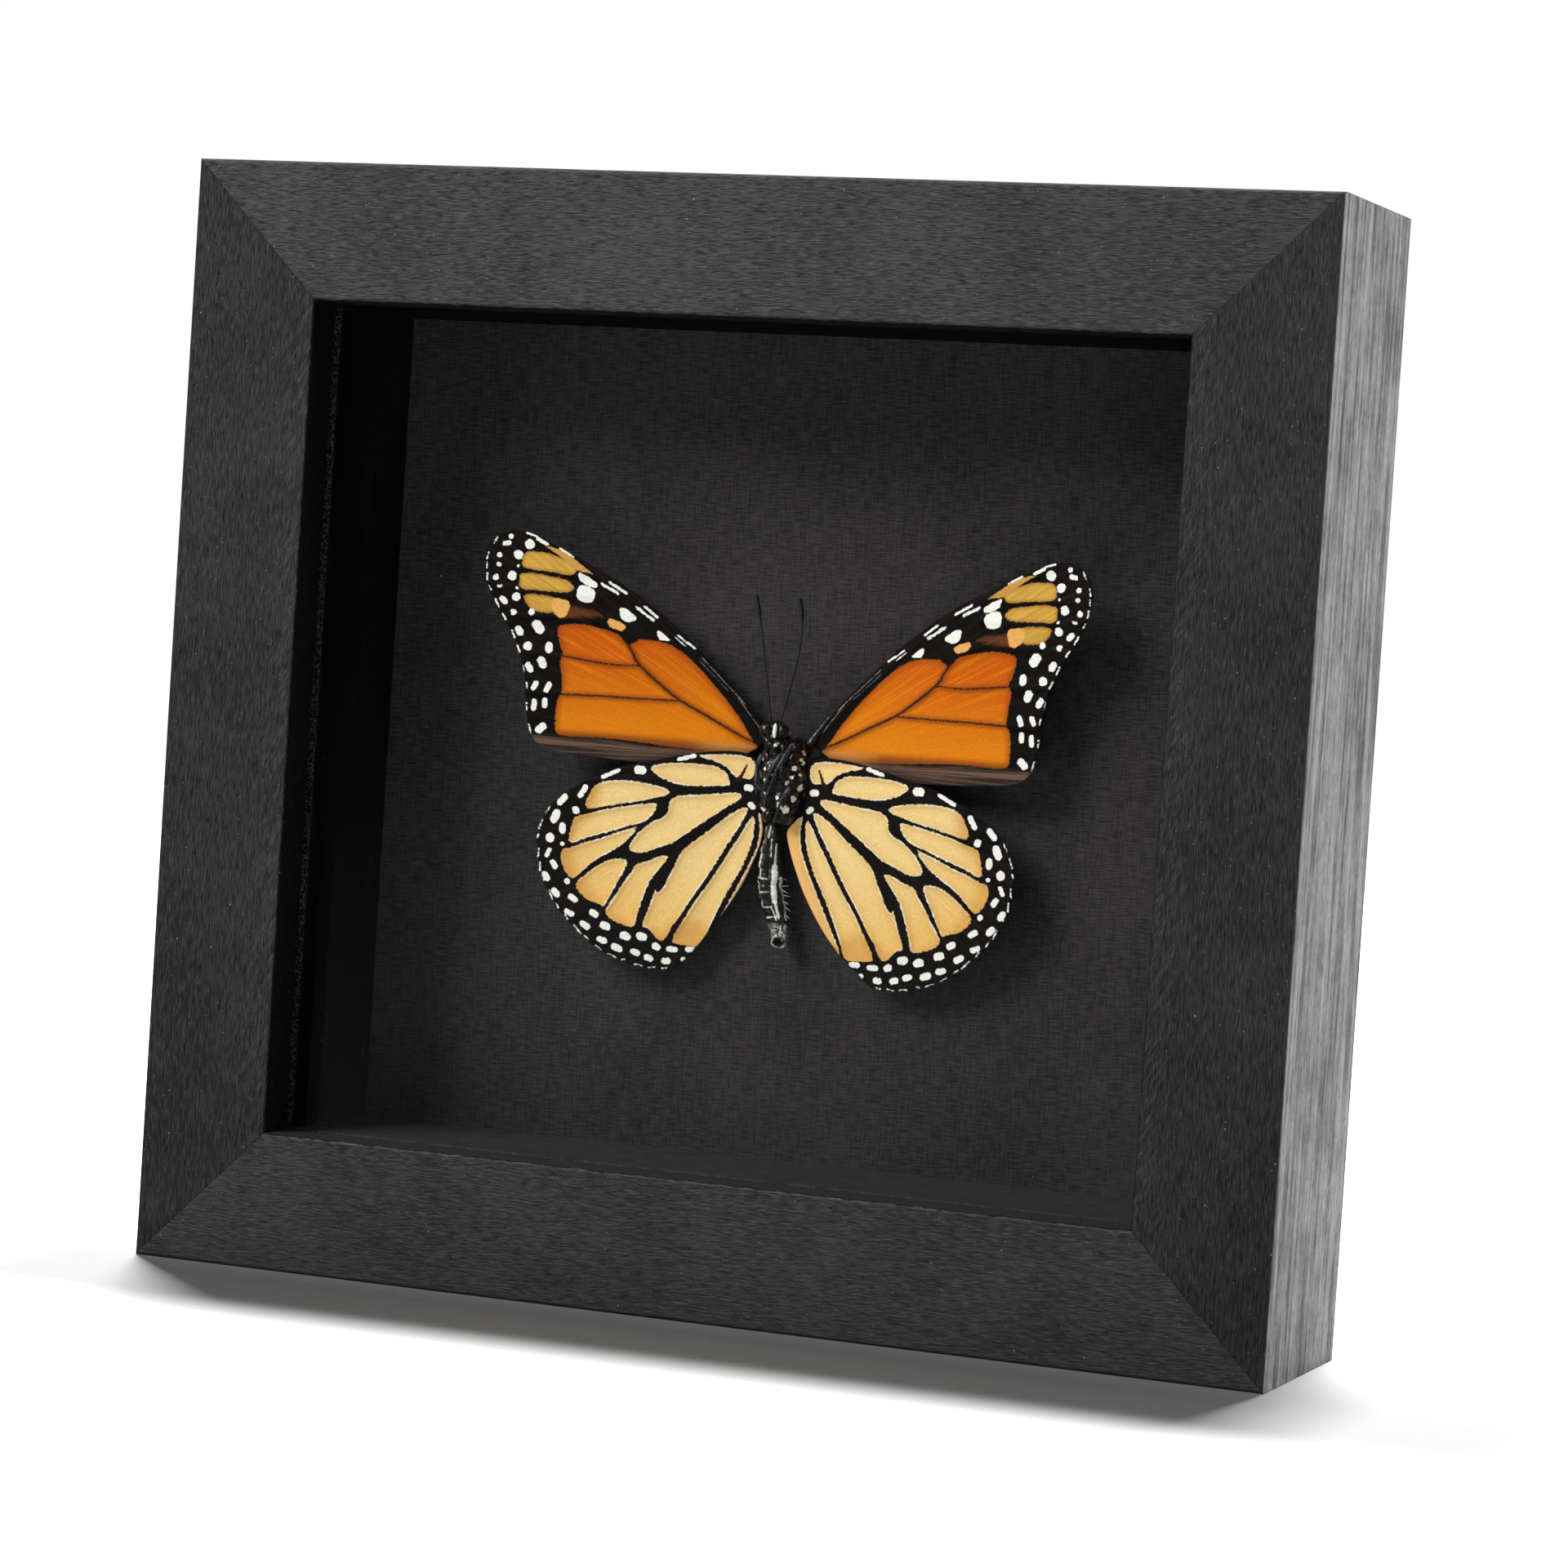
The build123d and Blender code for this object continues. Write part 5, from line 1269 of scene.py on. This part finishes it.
# %% The form of the abdomen
ABDOMEN_TOP = 71.35
ABDOMEN_LENGTH = 18.4             # along its axis, whose end curls towards the viewer
ABDOMEN_Y = 11.8
ABDOMEN_DRIFT = ((0, 4, 8, 11, 14, 17, 18.4), (-1.6, -1.7, -1.5, -1.0, -0.1, 0.75, 0.9))   # axis to the right
ABDOMEN_RINGS = 8
HOLLOW_DEPTH = 1.5
TIP_CURL, CURL_SHARE = math.radians(72), 0.2      # how far the end curls, and over what share of the length
SKIN_SHARE = 0.86                 # of the rolled skin that lies outside; the rest is rim and hollow

lengths = np.linspace(0, ABDOMEN_LENGTH, 300)
abdomen_drift = smooth_path(np.column_stack(ABDOMEN_DRIFT)).T
curl = TIP_CURL * np.clip((lengths / ABDOMEN_LENGTH - 1 + CURL_SHARE) / CURL_SHARE, 0, 1) ** 1.5
step = lengths[1]
axis_y = ABDOMEN_Y - np.cumsum(np.sin(curl)) * step
axis_z = ABDOMEN_TOP - np.cumsum(np.cos(curl)) * step


def abdomen_axis(at):
    """Centre of a ring, and how far its end has curled."""
    x = THORAX.x + np.interp(at, *abdomen_drift)
    centre = Vector((x, np.interp(at, lengths, axis_y), np.interp(at, lengths, axis_z)))
    return centre, float(np.interp(at, lengths, curl))


def abdomen_skin(along, turn):
    """A point of the skin: outside as far as the end, and then back inside as the wall of the hollow."""
    share = min(along / SKIN_SHARE, 1.0)
    inward = max((along - SKIN_SHARE) / (1 - SKIN_SHARE), 0.0)
    at = ABDOMEN_LENGTH * share
    centre, angle = abdomen_axis(at)
    reach = 1.15 + 0.80 * math.sin(math.pi * share) ** 0.9
    ring = share * ABDOMEN_RINGS % 1
    reach -= 0.20 * abs(2 * ring - 1) ** 5
    reach *= 1 - 0.16 * math.exp(-((turn - 0.15) / 0.26) ** 2) + 0.05 * math.cos(3 * turn + 1.2 * at / 4)
    spot = Vector((math.sin(turn), -math.cos(turn), at / 2.2)) * 1.3
    reach *= 1 + 0.16 * noise.noise(spot) + 0.05 * noise.noise(spot * 4)
    reach *= min(1.0, share / 0.025) ** 0.5
    centre += Vector((0, math.sin(angle), math.cos(angle))) * HOLLOW_DEPTH * max(inward - 0.2, 0.0)
    reach *= (1 - inward) ** 0.5 if inward > 0.2 else 1 - 0.53 * inward
    front = Vector((0, -math.cos(angle), math.sin(angle)))
    return centre + Vector((reach * math.sin(turn), 0, 0)) + front * reach * math.cos(turn)


tip, tip_angle = abdomen_axis(ABDOMEN_LENGTH)
print("the abdomen ends", round(tip.z, 1), "mm up, curled by", round(math.degrees(tip_angle)), "degrees")

# %% [markdown]
# ## Stripes of the abdomen
# Pale scales lie in stripes along the abdomen and along the edges of its rings, and grey ones dust its tail.
# They are marks again, on the skin laid flat, broken up by noise that is drawn out along the body. The hollow
# at the end is painted dark inside as painted shade, which a distance from a point within it gives.

# %% The finish of the abdomen
ABDOMEN_UNROLL = 1.8              # radius at which its skin is laid flat
TAIL_FROM = 15.4                  # the grey dusting of the tail starts this far down
ABDOMEN_STRIPES = (               # half width, then degrees round and millimetres down
    (0.16, (0, 0.5), (-2, 2.2)), (0.10, (-28, 0.8), (-30, 6.0)),
    (0.20, (50, 3.2), (45, 5.0), (40, 8.0), (26, 11.0), (30, 14.0)),
    (0.42, (42, 6.5), (34, 9.0), (25, 11.6)), (0.17, (-32, 5.0), (-38, 8.2)), (0.20, (-48, 9.0), (-52, 12.4)),
    (0.09, (-55, 8.3), (0, 8.4)), (0.10, (-55, 10.5), (0, 10.3)), (0.10, (-50, 12.7), (5, 12.5)),
    (0.12, (-45, 14.2), (40, 13.8)), (0.14, (0, 12.5), (14, 14.4)), (0.30, (66, 8.2), (80, 11.0), (70, 14.2)),
    (0.10, (20, 2.4), (22, 5.0)))


def abdomen_plan(places):
    """Millimetres round the abdomen and millimetres down it."""
    down = ABDOMEN_TOP - places[:, 2]
    middle = np.array([abdomen_axis(min(max(at, 0.0), ABDOMEN_LENGTH))[0].x for at in down])
    turn = np.arctan2(places[:, 0] - middle, ABDOMEN_Y - places[:, 1])
    return np.column_stack([turn * ABDOMEN_UNROLL, down])


def abdomen_stripes(places):
    """Distance to the nearest pale stripe."""
    plan = abdomen_plan(places)
    stripes = [(width, np.array([(math.radians(turn) * ABDOMEN_UNROLL, down) for turn, down in path]))
               for width, *path in ABDOMEN_STRIPES]
    return np.min([distance_to_path(plan, path) - width for width, path in stripes], axis=0)


hollow = tip + Vector((0, math.sin(tip_angle), math.cos(tip_angle))) * 0.8
banded = chitin("banded_abdomen", (0.006, 0.0045, 0.0045), (0.024, 0.018, 0.016), 0.24)
rough = banded.noise(banded.stretch(banded.place, 1.0, 1.0, 0.3), 0.30, detail=4.0, roughness=0.7)
frayed = banded.math("MULTIPLY_ADD", rough, 0.55, banded.attribute("stripe"))
lit = banded.mix(banded.below(frayed, 0.26, 0.07), banded.tone, (0.66, 0.65, 0.60))
tail = banded.math("MULTIPLY", banded.below(banded.attribute("tail"), 0.3, 0.4), banded.mask(rough, 0.46, 0.60))
lit = banded.mix(tail, lit, (0.60, 0.58, 0.54))
# the inside of the end's hollow is painted dark brown: painted shade
banded.set(Base_Color=banded.mix(banded.below(banded.attribute("hollow"), 0.0, 0.10), lit, (0.026, 0.010, 0.006)))
print(len(ABDOMEN_STRIPES), "pale stripes")

# %% [markdown]
# ## Rolling the abdomen
# The skin is rolled from one grid. Fine hairs stand on it where a random draw puts them, from the same seed in
# each run, and a row of stiff bristles on the right is placed from a list.

# %% The skin of the abdomen and its hairs
ABDOMEN_HAIRS = 70
SIDE_BRISTLES = ((8.0, 0.9, -0.4), (9.3, 1.5, 0.1), (9.9, 1.2, -0.3), (10.6, 1.5, -0.1), (11.5, 1.3, -0.3),
                 (12.4, 1.1, -0.5), (13.6, 0.8, -0.6))       # how far down, length and fall
BRISTLE_TURN = 1.35
bm = bmesh.new()
roll(bm, 220, 90, abdomen_skin)
for _ in range(ABDOMEN_HAIRS):
    at, turn = random.uniform(1.0, 16.0), random.uniform(-1.9, 1.9)
    root = abdomen_skin(at / ABDOMEN_LENGTH * SKIN_SHARE, turn)
    run = Vector((math.sin(turn), -math.cos(turn), random.uniform(-0.9, 0.2)))
    hair(bm, root, run * random.uniform(0.25, 0.6), 0.022)
for down, length, fall in SIDE_BRISTLES:
    root = abdomen_skin(down / ABDOMEN_LENGTH * SKIN_SHARE, BRISTLE_TURN)
    hair(bm, root, Vector((0.95, -0.35, fall)) * length, 0.07)
stand(bm, "set_abdomen", banded, "abdomen", {
    "stripe": abdomen_stripes,
    "tail": lambda p: TAIL_FROM - (ABDOMEN_TOP - p[:, 2]),
    "hollow": lambda p: np.linalg.norm(p - np.array(hollow), axis=1) - 1.0,
})
